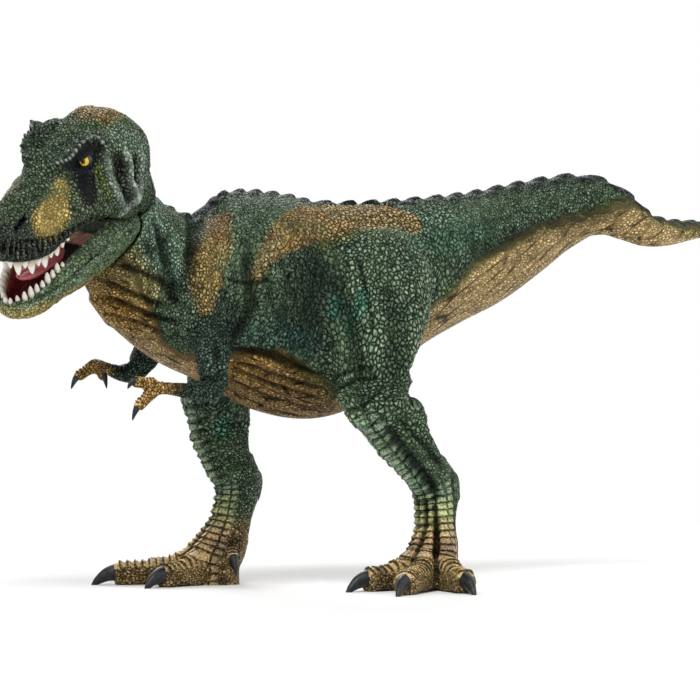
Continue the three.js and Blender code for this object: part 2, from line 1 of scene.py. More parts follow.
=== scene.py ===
# %% [markdown]
# # A walking tyrannosaur toy
#
# The real object is a figure of soft vinyl, cast in steel moulds that were taken from a hand-carved
# original, then sprayed and dry-brushed by hand. Its lower jaw is a separate casting that turns on a
# pin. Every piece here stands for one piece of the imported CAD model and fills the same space: the
# skins follow the same paths and sections, and then get the muscles, folds and scales that the carver
# gave them.
#
# The frame comes first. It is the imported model, and its box is kept to compare sizes at the end.

# %% Frame
import json
import math

import bpy
import numpy as np
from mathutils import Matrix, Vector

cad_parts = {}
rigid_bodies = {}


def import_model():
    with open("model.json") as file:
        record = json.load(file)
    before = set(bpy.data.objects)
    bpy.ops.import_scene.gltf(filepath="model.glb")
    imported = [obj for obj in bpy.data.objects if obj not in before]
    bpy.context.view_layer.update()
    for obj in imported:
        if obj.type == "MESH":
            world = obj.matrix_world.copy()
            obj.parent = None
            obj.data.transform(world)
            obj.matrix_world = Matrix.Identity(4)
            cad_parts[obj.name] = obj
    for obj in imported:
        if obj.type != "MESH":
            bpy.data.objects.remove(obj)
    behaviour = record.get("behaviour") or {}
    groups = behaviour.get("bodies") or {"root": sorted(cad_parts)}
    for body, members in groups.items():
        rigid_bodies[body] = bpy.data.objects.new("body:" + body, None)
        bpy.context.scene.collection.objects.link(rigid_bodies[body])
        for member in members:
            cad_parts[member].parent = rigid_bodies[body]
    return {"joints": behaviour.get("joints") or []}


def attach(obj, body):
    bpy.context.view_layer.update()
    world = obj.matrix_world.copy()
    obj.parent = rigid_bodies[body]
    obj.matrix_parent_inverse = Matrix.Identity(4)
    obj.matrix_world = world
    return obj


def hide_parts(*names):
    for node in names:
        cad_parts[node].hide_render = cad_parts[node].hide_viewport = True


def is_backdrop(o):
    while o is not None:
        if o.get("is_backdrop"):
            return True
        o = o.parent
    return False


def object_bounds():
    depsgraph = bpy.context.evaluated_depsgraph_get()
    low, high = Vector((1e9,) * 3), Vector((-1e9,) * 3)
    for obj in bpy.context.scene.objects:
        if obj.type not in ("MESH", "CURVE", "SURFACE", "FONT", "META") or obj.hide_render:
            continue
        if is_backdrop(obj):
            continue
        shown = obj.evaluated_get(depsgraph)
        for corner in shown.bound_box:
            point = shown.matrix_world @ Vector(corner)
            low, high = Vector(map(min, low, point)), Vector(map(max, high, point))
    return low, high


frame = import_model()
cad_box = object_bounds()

# %% [markdown]
# All places below are millimetres in the carver's own frame: the animal looks along -X, its left is -Y
# and +Z is up. The jaw's hinge is known in both frames, so their difference is the step between them.
# Lengths along the spine are shares of `reach` and heights are shares of `hip_height`, as in the CAD.

# %% Sizes and the step into the frame
MM = 0.001
reach = 100.0
hip_height = 93.0
trunk_width = 51.0
trunk_depth = 61.5
thigh_depth = 41.0
arm_depth = 14.0
skull_length = 53.0
skull_width = 30.0
skull_height = 33.0

hinge_shares = np.array([-0.886, -0.07, 1.205])
hinge = hinge_shares * [reach, reach, hip_height]
step = np.array(frame["joints"][0]["pos_m"]) / MM - hinge
print("step from the carver's frame to the packed one, mm:", step.round(3))


def in_frame(points):
    """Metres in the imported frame: the carver's millimetres plus the step, times one thousandth."""
    return (points + step) * MM


# %% [markdown]
# Colours are written as a painter would note them, in sRGB hex, and one function turns them to the
# linear values that the shaders mix. One more adds a node, so that each material reads as a short list
# of what is mixed with what.


# %% Colours and nodes
def linear(code):
    """Linear RGBA of an sRGB hex colour: c / 12.92 for dark values, else ((c + 0.055) / 1.055) ^ 2.4."""
    raw = np.array([int(code[i : i + 2], 16) for i in (1, 3, 5)]) / 255
    channels = np.where(raw <= 0.04045, raw / 12.92, ((raw + 0.055) / 1.055) ** 2.4)
    return (*channels.tolist(), 1.0)


def add(tree, kind, inputs, out=0, **settings):
    """Adds one node with its settings, links or sets its inputs, and returns one of its outputs."""
    node = tree.nodes.new(kind)
    for name, value in settings.items():
        setattr(node, name, value)
    for socket, value in inputs.items():
        if isinstance(value, bpy.types.NodeSocket):
            tree.links.new(value, node.inputs[socket])
        else:
            node.inputs[socket].default_value = value
    return node.outputs[out] if node.outputs else node


def new_material(name):
    """An empty node material and its tree."""
    material = bpy.data.materials.new(name)
    material.use_nodes = True
    material.node_tree.nodes.clear()
    return material, material.node_tree


def mottled_material(name, per_mm, detail):
    """A new material, its tree, and noise in the object's own place with that many waves a millimetre."""
    material, tree = new_material(name)
    place = add(tree, "ShaderNodeTexCoord", {}, "Object")
    mottle = {"Vector": place, "Scale": per_mm / MM, "Detail": detail}
    return material, tree, add(tree, "ShaderNodeTexNoise", mottle)


def finish_material(tree, inputs):
    """Gives a material its surface, with the inputs named, and its output."""
    surface = add(tree, "ShaderNodeBsdfPrincipled", inputs)
    add(tree, "ShaderNodeOutputMaterial", {"Surface": surface})


# %% [markdown]
# The picture is taken with a long lens from the animal's left, a little ahead of it and level with its
# belly. The lens is worked out from the scale wanted at the animal's middle: 3.28 pixels for each
# millimetre at 1.4 metres.

# %% Camera
picture = 700
pixels_per_mm = 3.28
distance = 1400.0
azimuth = math.radians(-28)
elevation = math.radians(0.8)
aim = np.array([-1.666, 3.010, 71.7])

back = np.array(
    [math.sin(azimuth) * math.cos(elevation), -math.cos(azimuth) * math.cos(elevation), math.sin(elevation)]
)
scene = bpy.context.scene
lens_data = bpy.data.cameras.new("camera")
lens_data.sensor_width = 36.0
lens_data.lens = pixels_per_mm * distance * lens_data.sensor_width / picture
lens_data.clip_start = 0.05
lens_data.clip_end = 20.0
camera = bpy.data.objects.new("camera", lens_data)
camera.location = (aim + back * distance) * MM
camera.rotation_euler = (math.pi / 2 - elevation, 0.0, azimuth)
scene.collection.objects.link(camera)
scene.camera = camera
print("lens", round(lens_data.lens, 1), "mm")

# %% [markdown]
# The studio is a white table and a white sky. The table is a pale floor that keeps the soft shadow; the
# sky is white for the camera and dim for everything else, so that the object isn't flooded with light.
# A broad lamp above and to the left gives the form its shading, a weaker one fills from the right, and
# one from behind lights the edge of the back.

# %% Floor
floor_half = 3000.0
shadow_reach = (170.0, 420.0)
floor_mesh = bpy.data.meshes.new("floor")
ends = [(-1, -1), (1, -1), (1, 1), (-1, 1)]
floor_mesh.from_pydata([(x * floor_half * MM, y * floor_half * MM, 0) for x, y in ends], [], [(0, 1, 2, 3)])
floor = bpy.data.objects.new("floor", floor_mesh)
scene.collection.objects.link(floor)
floor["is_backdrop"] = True
floor_paint, tree = new_material("white_table")
place = add(tree, "ShaderNodeTexCoord", {}, "Object")
far = add(tree, "ShaderNodeVectorMath", {0: place}, "Value", operation="LENGTH")
limits = {"Value": far, "From Min": shadow_reach[0] * MM, "From Max": shadow_reach[1] * MM}
fade = add(tree, "ShaderNodeMapRange", limits, interpolation_type="SMOOTHSTEP")
seen = add(tree, "ShaderNodeLightPath", {}, "Is Camera Ray")
fade = add(tree, "ShaderNodeMath", {0: fade, 1: seen}, operation="MULTIPLY")
table = add(tree, "ShaderNodeBsdfPrincipled", {"Base Color": linear("#fbfbfb"), "Roughness": 0.9})
glow = add(tree, "ShaderNodeEmission", {"Color": (1, 1, 1, 1), "Strength": 1.0})
table_surface = add(tree, "ShaderNodeMixShader", {0: fade, 1: table, 2: glow})
add(tree, "ShaderNodeOutputMaterial", {"Surface": table_surface})
floor_mesh.materials.append(floor_paint)

# %% Sky
sky = bpy.data.worlds.new("white_sky")
sky.use_nodes = True
scene.world = sky
tree = sky.node_tree
tree.nodes.clear()
sky_light = 0.4
white_for = add(tree, "ShaderNodeLightPath", {}, "Is Camera Ray")
for kind in ("Is Glossy Ray", "Is Transmission Ray"):
    ray = add(tree, "ShaderNodeLightPath", {}, kind)
    white_for = add(tree, "ShaderNodeMath", {0: white_for, 1: ray}, operation="MAXIMUM")
strength = add(tree, "ShaderNodeMapRange", {"Value": white_for, "To Min": sky_light, "To Max": 1})
background = add(tree, "ShaderNodeBackground", {"Color": (1, 1, 1, 1), "Strength": strength})
add(tree, "ShaderNodeOutputWorld", {"Surface": background})


# %% Lamps
def lamp(name, place, size, power):
    """A square area lamp that looks at the animal's middle; place and size are millimetres."""
    data = bpy.data.lights.new(name, "AREA")
    data.shape = "SQUARE"
    data.size = size * MM
    data.energy = power
    lit = bpy.data.objects.new(name, data)
    away = np.array(place, float) - aim
    lit.location = np.array(place) * MM
    turn = math.atan2(away[1], away[0]) + math.pi / 2
    tilt = math.acos(away[2] / np.linalg.norm(away))
    lit.rotation_euler = (tilt, 0.0, turn)
    scene.collection.objects.link(lit)


lamp("key_lamp", (-600, -800, 1250), 600, 17)
lamp("fill_lamp", (900, -900, 600), 800, 4)
lamp("rim_lamp", (300, 1100, 900), 700, 8)
scene.view_settings.view_transform = "Standard"

# %% [markdown]
# Every limb is a tube: a section carried along a smooth path. The path and the sizes of the section run
# through a few given stations on a Catmull-Rom curve, which passes through each of them. The same
# frames make the surface, find where on a limb a point of the skin lies, and lay a fold along it.


# %% Curves and tubes
def unit(vectors):
    """The vectors divided by their lengths."""
    return vectors / np.maximum(np.linalg.norm(vectors, axis=-1, keepdims=True), 1e-12)


def catmull(knots, places):
    """Points and slopes of a uniform Catmull-Rom curve at places from 0 to 1.

    Between two knots the curve is the cubic whose end slopes are half the step from the knot before to
    the knot after; past each end a knot is added that mirrors its neighbour.
    """
    knots = np.asarray(knots, float)
    padded = np.vstack([2 * knots[:1] - knots[1:2], knots, 2 * knots[-1:] - knots[-2:-1]])
    along = np.clip(places, 0, 1) * (len(knots) - 1)
    first = np.minimum(along.astype(int), len(knots) - 2)
    t = (along - first)[:, None]
    a, b, c, d = (padded[first + i] for i in range(4))
    cubic = 1.5 * (b - c) + 0.5 * (d - a)
    square = a - 2.5 * b + 2 * c - 0.5 * d
    slope = 0.5 * (c - a)
    return ((cubic * t + square) * t + slope) * t + b, (3 * cubic * t + 2 * square) * t + slope


class Tube:
    """A section carried along a path, sampled a number of times between its stations.

    `middle` is the path, `ahead` its direction, `across` the given sideways direction made square to it,
    and `rise` their cross product. `size` holds the half width, the rise on the upper or front side and
    the drop on the other.
    """

    def __init__(self, at, size, lateral=(0, 1, 0), samples=10):
        places = np.linspace(0, 1, (len(at) - 1) * samples + 1)
        self.middle, slope = catmull(at, places)
        self.ahead = unit(slope)
        side = np.asarray(lateral, float)
        self.across = unit(side - self.ahead * (self.ahead @ side)[:, None])
        self.rise = np.cross(self.across, self.ahead)
        self.size = np.maximum(catmull(size, places)[0], 0)
        self.stations = places * (len(at) - 1)
        steps = np.linalg.norm(np.diff(self.middle, axis=0), axis=1)
        self.length = np.concatenate([[0.0], np.cumsum(steps)])

    def grid(self, sides, powers=(1.0, 1.0), grow=0.0):
        """Rings of points. At angle a the point lies cos(a) half widths across and sin(a) rises or drops
        up; a power under 1 on the cosine and sine makes that half of the section boxy."""
        angle = circle(sides)
        upper = np.sin(angle) > 0
        power = np.where(upper, powers[0], powers[1])
        cosine = np.sign(np.cos(angle)) * np.abs(np.cos(angle)) ** power
        sine = np.sign(np.sin(angle)) * np.abs(np.sin(angle)) ** power
        width = self.size[:, :1] + grow
        height = np.where(upper, self.size[:, 1:2], self.size[:, 2:3]) + grow
        middle = self.middle.copy()
        middle[0] -= self.ahead[0] * grow
        middle[-1] += self.ahead[-1] * grow
        return (
            middle[:, None]
            + self.across[:, None] * (cosine * width)[..., None]
            + self.rise[:, None] * (sine * height)[..., None]
        )

    def at(self, station, degrees):
        """The point of the surface at a station and an angle."""
        i = int(np.argmin(np.abs(self.stations - station)))
        angle = math.radians(degrees)
        height = self.size[i, 1] if math.sin(angle) > 0 else self.size[i, 2]
        sideways = self.across[i] * math.cos(angle) * self.size[i, 0]
        return self.middle[i] + sideways + self.rise[i] * math.sin(angle) * height


def circle(count):
    """That many angles, evenly spaced round a circle."""
    return np.linspace(0, 2 * np.pi, count, endpoint=False)


def closed(grid):
    """Points, quads and triangles of a grid of rings, each end closed by a fan about its middle."""
    rings, sides = grid.shape[:2]
    near, far = np.meshgrid(np.arange(rings - 1), np.arange(sides), indexing="ij")
    a = (near * sides + far).ravel()
    b = (near * sides + (far + 1) % sides).ravel()
    quads = np.stack([a, a + sides, b + sides, b], 1)
    k = np.arange(sides)
    after = (k + 1) % sides
    start = rings * sides
    last = (rings - 1) * sides
    fan = np.stack([np.full(sides, start), k, after], 1)
    other = np.stack([np.full(sides, start + 1), last + after, last + k], 1)
    points = np.vstack([grid.reshape(-1, 3), grid[0].mean(0), grid[-1].mean(0)])
    return points, quads, np.vstack([fan, other])


# %% [markdown]
# A finished surface becomes a mesh object with its place in its vertices. The faces may be quads, or
# quads and triangles.


# %% Meshes from arrays
def new_mesh_object(name, points, *faces):
    """A smooth mesh object from carver's points and arrays of faces, each array with its own side count."""
    mesh = bpy.data.meshes.new(name)
    corners = np.concatenate([part.ravel() for part in faces]).astype(np.int32)
    counts = np.concatenate([np.full(len(part), part.shape[1]) for part in faces])
    starts = (np.cumsum(counts) - counts).astype(np.int32)
    mesh.vertices.add(len(points))
    mesh.vertices.foreach_set("co", in_frame(points).astype(np.float32).ravel())
    mesh.loops.add(len(corners))
    mesh.loops.foreach_set("vertex_index", corners)
    mesh.polygons.add(len(starts))
    mesh.polygons.foreach_set("loop_start", starts)
    mesh.update(calc_edges=True)
    mesh.shade_smooth()
    made = bpy.data.objects.new(name, mesh)
    scene.collection.objects.link(made)
    return made


def joined(shells):
    """One set of points, quads and triangles from several."""
    offsets = np.cumsum([0] + [len(points) for points, _, _ in shells])
    points = np.vstack([shell[0] for shell in shells])
    return points, *(np.vstack([shell[k] + start for shell, start in zip(shells, offsets)]) for k in (1, 2))


def read_back(mesh):
    """A mesh's points in the carver's frame and its quads; a triangle repeats its last corner."""
    points = np.empty(len(mesh.vertices) * 3, np.float32)
    mesh.vertices.foreach_get("co", points)
    corners = np.empty(len(mesh.loops), np.int32)
    mesh.loops.foreach_get("vertex_index", corners)
    starts = np.empty(len(mesh.polygons), np.int32)
    mesh.polygons.foreach_get("loop_start", starts)
    counts = np.diff(np.append(starts, len(corners)))
    last = (counts - 1)[:, None]
    quads = corners[starts[:, None] + np.minimum(np.arange(4), last)]
    return points.reshape(-1, 3).astype(float) / MM - step, quads


def welded(shells, voxel, cutters=()):
    """The union of closed shells as even quads: they are joined, remeshed on a grid of that voxel, cut by
    the cutters and remeshed again where there are any. Removing a mesh removes its object too."""
    block = new_mesh_object("block", *joined(shells))
    scratch = [block]
    remesh = block.modifiers.new("even", "REMESH")
    remesh.mode = "VOXEL"
    remesh.voxel_size = voxel * MM
    for cutter in cutters:
        tool = new_mesh_object("tool", *cutter)
        scratch.append(tool)
        cut = block.modifiers.new("cut", "BOOLEAN")
        cut.operation = "DIFFERENCE"
        cut.solver = "MANIFOLD"
        cut.object = tool
    if cutters:
        again = block.modifiers.new("even_again", "REMESH")
        again.mode = "VOXEL"
        again.voxel_size = voxel * MM
    graph = bpy.context.evaluated_depsgraph_get()
    made = bpy.data.meshes.new_from_object(block.evaluated_get(graph))
    points, quads = read_back(made)
    bpy.data.meshes.remove(made)
    for used in scratch:
        bpy.data.meshes.remove(used.data)
    return points, quads


# %% [markdown]
# The skin is then worked as whole arrays, the way a carver works over a rough casting. Smoothing moves
# each point towards the middle of its neighbours, and carving moves it along the surface's normal.


# %% Working a skin
def edges_of(quads):
    """Every edge once, as pairs of point numbers."""
    pairs = np.vstack([quads[:, [i, (i + 1) % 4]] for i in range(4)])
    pairs.sort(axis=1)
    pairs = pairs[pairs[:, 0] != pairs[:, 1]].astype(np.int64)
    keys = np.unique(pairs[:, 0] << 32 | pairs[:, 1])
    return np.stack([keys >> 32, keys & 0xFFFFFFFF], 1)


def spread(values, edges, count):
    """The mean of the rows of values at each point's neighbours."""
    ends = np.concatenate([edges[:, 0], edges[:, 1]])
    others = np.concatenate([edges[:, 1], edges[:, 0]])
    share = np.maximum(np.bincount(ends, minlength=count), 1)
    return np.stack([np.bincount(ends, column[others], count) / share for column in values.T], 1)


def smoothed(points, edges, rounds):
    """Each round moves every point half way to its neighbours' mean."""
    for _ in range(rounds):
        points = points + 0.5 * (spread(points, edges, len(points)) - points)
    return points


def normals_of(points, quads):
    """Unit normals at the points: the sum of the crossed diagonals of the faces round each."""
    a, b, c, d = points[quads.T]
    diagonal = np.cross(c - a, d - b)
    corners = quads.ravel()
    spread_out = np.repeat(diagonal, 4, axis=0)
    sums = [np.bincount(corners, spread_out[:, axis], len(points)) for axis in range(3)]
    return unit(np.stack(sums, 1))


batch = 40000


def tube_coordinates(points, tube):
    """Where each point lies on a tube: its station, the length along it, its angle in degrees and its
    distance from the path as a share of the section's own half size that way. The nearest ring is found
    for one batch of points at a time, which saves memory."""
    nearest = np.empty(len(points), int)
    squares = (tube.middle**2).sum(1)
    for start in range(0, len(points), batch):
        block = points[start : start + batch]
        nearest[start : start + batch] = np.argmin(squares - 2 * block @ tube.middle.T, axis=1)
    away = points - tube.middle[nearest]
    ahead = (away * tube.ahead[nearest]).sum(1)
    sideways = (away * tube.across[nearest]).sum(1)
    upwards = (away * tube.rise[nearest]).sum(1)
    per_length = np.gradient(tube.stations) / np.maximum(np.gradient(tube.length), 1e-9)
    size = np.maximum(tube.size[nearest], 0.2)
    height = np.where(upwards > 0, size[:, 1], size[:, 2])
    spare = np.maximum(np.abs(ahead) - 1.0, 0) / size.max(1)
    ratio = np.sqrt((sideways / size[:, 0]) ** 2 + (upwards / height) ** 2 + spare**2)
    station = tube.stations[nearest] + ahead * per_length[nearest]
    angle = np.degrees(np.arctan2(upwards / height, sideways / size[:, 0]))
    return station, tube.length[nearest] + ahead, angle, ratio


def bell(x):
    """A smooth hump: (1 - x squared) squared inside 1, nothing outside."""
    return np.maximum(1 - x * x, 0) ** 2


def ramp(x, low, high):
    """A smooth step from 0 at low to 1 at high: 3t^2 - 2t^3."""
    t = np.clip((x - low) / (high - low), 0, 1)
    return t * t * (3 - 2 * t)


skin_search = 6.0


def line_distance(points, path, limit):
    """Distance from each point to a line through the given knots, up to a limit, and the share of the
    line's length where it is nearest. The line is first laid on the skin: each of its knots moves to the
    nearest point in the line's box grown by skin_search. Then only points in its box grown by the limit
    are measured."""
    knots = catmull(path, np.linspace(0, 1, 6 * (len(path) - 1) + 1))[0]
    box = ((points > knots.min(0) - skin_search) & (points < knots.max(0) + skin_search)).all(1)
    skin = points[box]
    if len(skin):
        knots = np.array([skin[np.argmin(((skin - knot) ** 2).sum(1))] for knot in knots])
        knots[1:-1] = (knots[:-2] + 2 * knots[1:-1] + knots[2:]) / 4
    gap = np.full(len(points), float(limit))
    share = np.zeros(len(points))
    low, high = knots.min(0) - limit, knots.max(0) + limit
    chosen = np.flatnonzero(((points > low) & (points < high)).all(1))
    near = points[chosen]
    found, where = gap[chosen], share[chosen]
    for i in range(len(knots) - 1):
        side = knots[i + 1] - knots[i]
        t = np.clip((near - knots[i]) @ side / max(side @ side, 1e-9), 0, 1)
        far = np.linalg.norm(near - knots[i] - t[:, None] * side, axis=1)
        closer = far < found
        found = np.where(closer, far, found)
        where = np.where(closer, (i + t) / (len(knots) - 1), where)
    gap[chosen], share[chosen] = found, where
    return gap, share


def noise(points, size, seed):
    """Soft value noise from -1 to 1: random values at the corners of cubes of that size, blended across
    each cube by the smooth step."""
    values = np.random.default_rng(seed).uniform(-1, 1, (32, 32, 32))
    scaled = points / size
    cell = np.floor(scaled).astype(int)
    t = ramp(scaled - cell, 0, 1)
    total = np.zeros(len(points))
    for corner in np.ndindex(2, 2, 2):
        index = (cell + corner) % 32
        weight = np.prod(np.where(corner, t, 1 - t), axis=1)
        total += weight * values[index[:, 0], index[:, 1], index[:, 2]]
    return total

# %% [markdown]
# The body is one surface on the real toy as far as the eye can tell: the tail, the legs and the arms are
# plugged into the trunk and the joints are hidden under the paint. So all their tubes are made together
# and welded, and the skin is split into its castings at the end. The stations are those of the CAD.

# %% The spine
spine_shares = np.array([
    [1.4, 0.02, 1.19, 0, 0, 0], [1.31, 0.01, 1.178, 0.04, 0.032, 0.032],
    [1.2, -0.02, 1.168, 0.07, 0.048, 0.05], [1.1, -0.05, 1.16, 0.09, 0.062, 0.066],
    [1.02, -0.06, 1.168, 0.105, 0.076, 0.082], [0.96, -0.05, 1.2, 0.118, 0.1, 0.105],
    [0.9, -0.03, 1.232, 0.14, 0.13, 0.125], [0.82, -0.01, 1.24, 0.17, 0.163, 0.148],
    [0.71, 0, 1.205, 0.205, 0.203, 0.182], [0.59, 0, 1.155, 0.245, 0.245, 0.232],
    [0.45, 0, 1.1, 0.29, 0.285, 0.285], [0.3, 0, 1.055, 0.33, 0.325, 0.325],
    [0.15, 0, 1.015, 0.4, 0.37, 0.39], [0, 0, 0.98, 0.45, 0.415, 0.535],
    [-0.15, 0, 0.945, 0.49, 0.485, 0.6], [-0.3, 0, 0.935, 0.5, 0.52, 0.55],
    [-0.44, 0, 0.945, 0.47, 0.51, 0.435], [-0.55, 0, 0.97, 0.43, 0.45, 0.385],
    [-0.64, -0.01, 1.02, 0.37, 0.34, 0.355], [-0.71, -0.02, 1.085, 0.32, 0.27, 0.32],
    [-0.76, -0.03, 1.15, 0.29, 0.23, 0.3], [-0.79, -0.035, 1.21, 0.26, 0.2, 0.27],
])
tail_joint_station = 10
spine_scale = np.array([reach, reach, hip_height])
spine_size_scale = np.array([trunk_width, trunk_depth, trunk_depth])
print("stations of the spine:", len(spine_shares))

# %% Legs and feet
leg_size_shares = np.array([
    [0.2, 0.4, 0.3], [0.3, 0.5, 0.38], [0.34, 0.5, 0.36], [0.3, 0.36, 0.31], [0.25, 0.25, 0.25],
    [0.22, 0.21, 0.28], [0.18, 0.17, 0.24], [0.16, 0.16, 0.2], [0.15, 0.17, 0.14],
    [0.17, 0.22, 0.14], [0.2, 0.26, 0.14], [0.21, 0.25, 0.16],
])
leg_shares = {
    "left": np.array([
        [-0.02, 0.13, 1.13], [-0.01, 0.2, 1.02], [0.01, 0.26, 0.86], [0.05, 0.29, 0.73],
        [0.06, 0.3, 0.62], [-0.02, 0.29, 0.51], [-0.105, 0.28, 0.41], [-0.16, 0.27, 0.325],
        [-0.175, 0.27, 0.215], [-0.175, 0.275, 0.12], [-0.16, 0.28, 0.06], [-0.155, 0.285, -0.03],
    ]),
    "right": np.array([
        [0, 0.13, 1.13], [0.04, 0.2, 1.02], [0.16, 0.24, 0.86], [0.27, 0.26, 0.74],
        [0.35, 0.27, 0.63], [0.35, 0.265, 0.51], [0.325, 0.26, 0.42], [0.29, 0.26, 0.33],
        [0.3, 0.26, 0.22], [0.325, 0.265, 0.12], [0.345, 0.27, 0.06], [0.35, 0.275, -0.03],
    ]),
}
side_of = {"left": -1, "right": 1}
foot_turn = {"left": 45, "right": 18}
toe_width = 9.0
toe_sole_share = 0.38
toe_spread = 38
toes = {"inner": (1, 20.0), "middle": (0, 27.0), "outer": (-1, 20.0)}
spur_length, spur_width, spur_up, spur_back, spur_turn, spur_fall = 9.0, 5.0, 0.17, 0.04, 100, 0.9
digit_shares = np.array([[0, 1, 0.9], [0.3, 0.35, 1], [0.62, 0, 0.9], [1, 0, 0.84]])
print("stations of a leg:", len(leg_size_shares), "toes of a foot:", len(toes))

# %% Arms and fingers
arm_size_shares = np.array([
    [0.4, 0.55, 0.55], [0.4, 0.48, 0.5], [0.3, 0.33, 0.36], [0.24, 0.25, 0.28], [0.19, 0.18, 0.2],
    [0.16, 0.13, 0.14], [0.18, 0.14, 0.14],
])
arm_shares = {
    "left": np.array([
        [0.545, 0.15, 0.86], [0.57, 0.205, 0.79], [0.59, 0.245, 0.715], [0.6, 0.265, 0.66],
        [0.66, 0.28, 0.65], [0.75, 0.285, 0.66], [0.795, 0.285, 0.66],
    ]),
    "right": np.array([
        [0.5, 0.14, 0.86], [0.55, 0.19, 0.8], [0.59, 0.22, 0.745], [0.615, 0.23, 0.705],
        [0.66, 0.235, 0.7], [0.71, 0.23, 0.715], [0.745, 0.225, 0.725],
    ]),
}
# Turn outwards in degrees, height of the root in finger widths, and slope of each finger.
fingers = {
    "left": [(8, 0.25, 0.15), (-2, -0.1, -0.9)],
    "right": [(-85, -0.05, -0.5), (4, 0.05, -0.6)],
}
finger_length, finger_width, finger_arch = 5.2, 4.0, 0.125
print("stations of an arm:", len(arm_size_shares))


# %% The tubes of the body
def heading(degrees_out, side):
    """The level direction that turns outwards from straight ahead by an angle."""
    turn = math.radians(degrees_out)
    return np.array([-math.cos(turn), side * math.sin(turn), 0.0])


def digit_tube(root, direction, length, width, lift, sheath):
    """A toe or finger: its root is lifted, it thickens at the knuckle, and its end closes round the root
    of its claw in a sheath of that length."""
    run = np.append(digit_shares[:, 0] * length, [length + 0.75 * sheath, length + sheath])
    at = root + run[:, None] * direction
    at[:, 2] += np.append(digit_shares[:, 1], [0.0, -0.02]) * lift
    at[-2:, 2] -= 0.05 * sheath
    share = np.append(digit_shares[:, 2], [0.86, 0.6])
    size = np.repeat(share[:, None] * width / 2, 3, axis=1)
    return Tube(at, size, (-direction[1], direction[0], 0.0), samples=12)


tubes = {"spine": Tube(spine_shares[:, :3] * spine_scale, spine_shares[:, 3:] * spine_size_scale)}
claw_seats = {}
insteps = []
foot_grooves = []
toe_sheath, finger_sheath, spur_sheath = 5.4, 2.4, 3.0
for limb, side in side_of.items():
    leg_scale = np.array([-hip_height, side * hip_height, hip_height])
    leg_at = leg_shares[limb] * leg_scale
    tubes[f"{limb}_leg"] = Tube(leg_at, leg_size_shares * thigh_depth)
    ball = leg_at[-2]
    sole = toe_sole_share * toe_width
    for toe_name, (way, length) in toes.items():
        direction = heading(foot_turn[limb] - way * toe_spread, side)
        root = np.array([ball[0], ball[1], sole])
        lift = ball[2] - sole
        tubes[f"{limb}_{toe_name}_toe"] = digit_tube(root, direction, length, toe_width, lift, toe_sheath)
        shin = leg_at[8] + direction * 2.6
        foot = np.array([ball[0], ball[1], 0.0])
        over = [shin, foot + direction * 7.5 + [0, 0, 9.5], foot + direction * 14.0 + [0, 0, 5.6]]
        over.append(foot + direction * 0.85 * length + [0, 0, 4.2])
        insteps.append(Tube(np.array(over), np.array([[3.2] * 3, [3.4] * 3, [3.3] * 3, [3.0] * 3])))
        claw_seats[f"{limb}_{toe_name}_toe_claw"] = (root + direction * length, direction, "toe")
    for way in (0.5, -0.5):
        direction = heading(foot_turn[limb] - way * toe_spread, side)
        over = [leg_at[8] + direction * 6.5, foot + direction * 9 + [0, 0, 9]]
        over += [foot + direction * 12 + [0, 0, 5.5], foot + direction * 14.5 + [0, 0, 2]]
        foot_grooves.append((np.array(over), 1.2, -1.0))
    root = np.array([ball[0] + spur_back * thigh_depth, ball[1], spur_up * hip_height])
    direction = unit(heading(foot_turn[limb] - spur_turn, side) + [0, 0, -spur_fall])
    tubes[f"{limb}_spur"] = digit_tube(root, direction, spur_length, spur_width, 0.0, spur_sheath)
    claw_seats[f"{limb}_spur_claw"] = (root + direction * spur_length, direction, "spur")
    arm_at = arm_shares[limb] * [-reach, side * reach, hip_height]
    tubes[f"{limb}_arm"] = Tube(arm_at, arm_size_shares * arm_depth)
    for number, (turn, up, slope) in enumerate(fingers[limb], 1):
        direction = unit(heading(turn, side) + [0, 0, slope])
        root = arm_at[-1] + [0, 0, up * finger_width]
        lift = finger_arch * finger_width
        finger = digit_tube(root, direction, finger_length, finger_width, lift, finger_sheath)
        tubes[f"{limb}_finger_{number}"] = finger
        seat = root + direction * finger_length
        claw_seats[f"{limb}_finger_claw_{number}"] = (seat, direction, "finger")
print("tubes:", len(tubes))

# %% [markdown]
# The head is carved level and straight ahead, its hinge at the origin and its snout along +X, and then
# placed: rolled, pitched and turned as the animal looks to its left. The jaw is made shut and turned open
# by the gape.

# %% Head stations
muzzle_shares = np.array([
    [-0.33, 0.3, 0, 0, 0], [-0.27, 0.26, 0.36, 0.3, 0.3], [-0.15, 0.22, 0.44, 0.32, 0.25],
    [0, 0.22, 0.48, 0.36, 0.22], [0.17, 0.28, 0.5, 0.42, 0.14], [0.35, 0.27, 0.48, 0.4, 0.09],
    [0.51, 0.21, 0.43, 0.38, 0.1], [0.66, 0.13, 0.39, 0.36, 0.11], [0.79, 0.09, 0.34, 0.36, 0.1],
    [0.9, 0.12, 0.28, 0.33, 0.1], [0.98, 0.17, 0.19, 0.25, 0.1], [1.02, 0.22, 0, 0, 0],
])
crest_shares = np.array([
    [-0.32, 0.6, 0, 0, 0], [-0.27, 0.58, 0.3, 0.27, 0.42], [-0.15, 0.55, 0.4, 0.39, 0.45],
    [0.04, 0.55, 0.43, 0.47, 0.42], [0.23, 0.55, 0.38, 0.39, 0.36], [0.4, 0.52, 0.32, 0.3, 0.27],
    [0.51, 0.4, 0.25, 0.24, 0.24], [0.68, 0.28, 0.19, 0.27, 0.18], [0.84, 0.2, 0.16, 0.29, 0.18],
    [0.94, 0.12, 0.12, 0.27, 0.1], [1.0, 0.1, 0, 0, 0],
])
brow_shares = np.array([
    [0.02, 0.23, 0.8, 0], [0.14, 0.25, 0.84, 0.08], [0.27, 0.265, 0.845, 0.095],
    [0.39, 0.25, 0.81, 0.09], [0.46, 0.21, 0.72, 0.07], [0.52, 0.17, 0.56, 0],
])
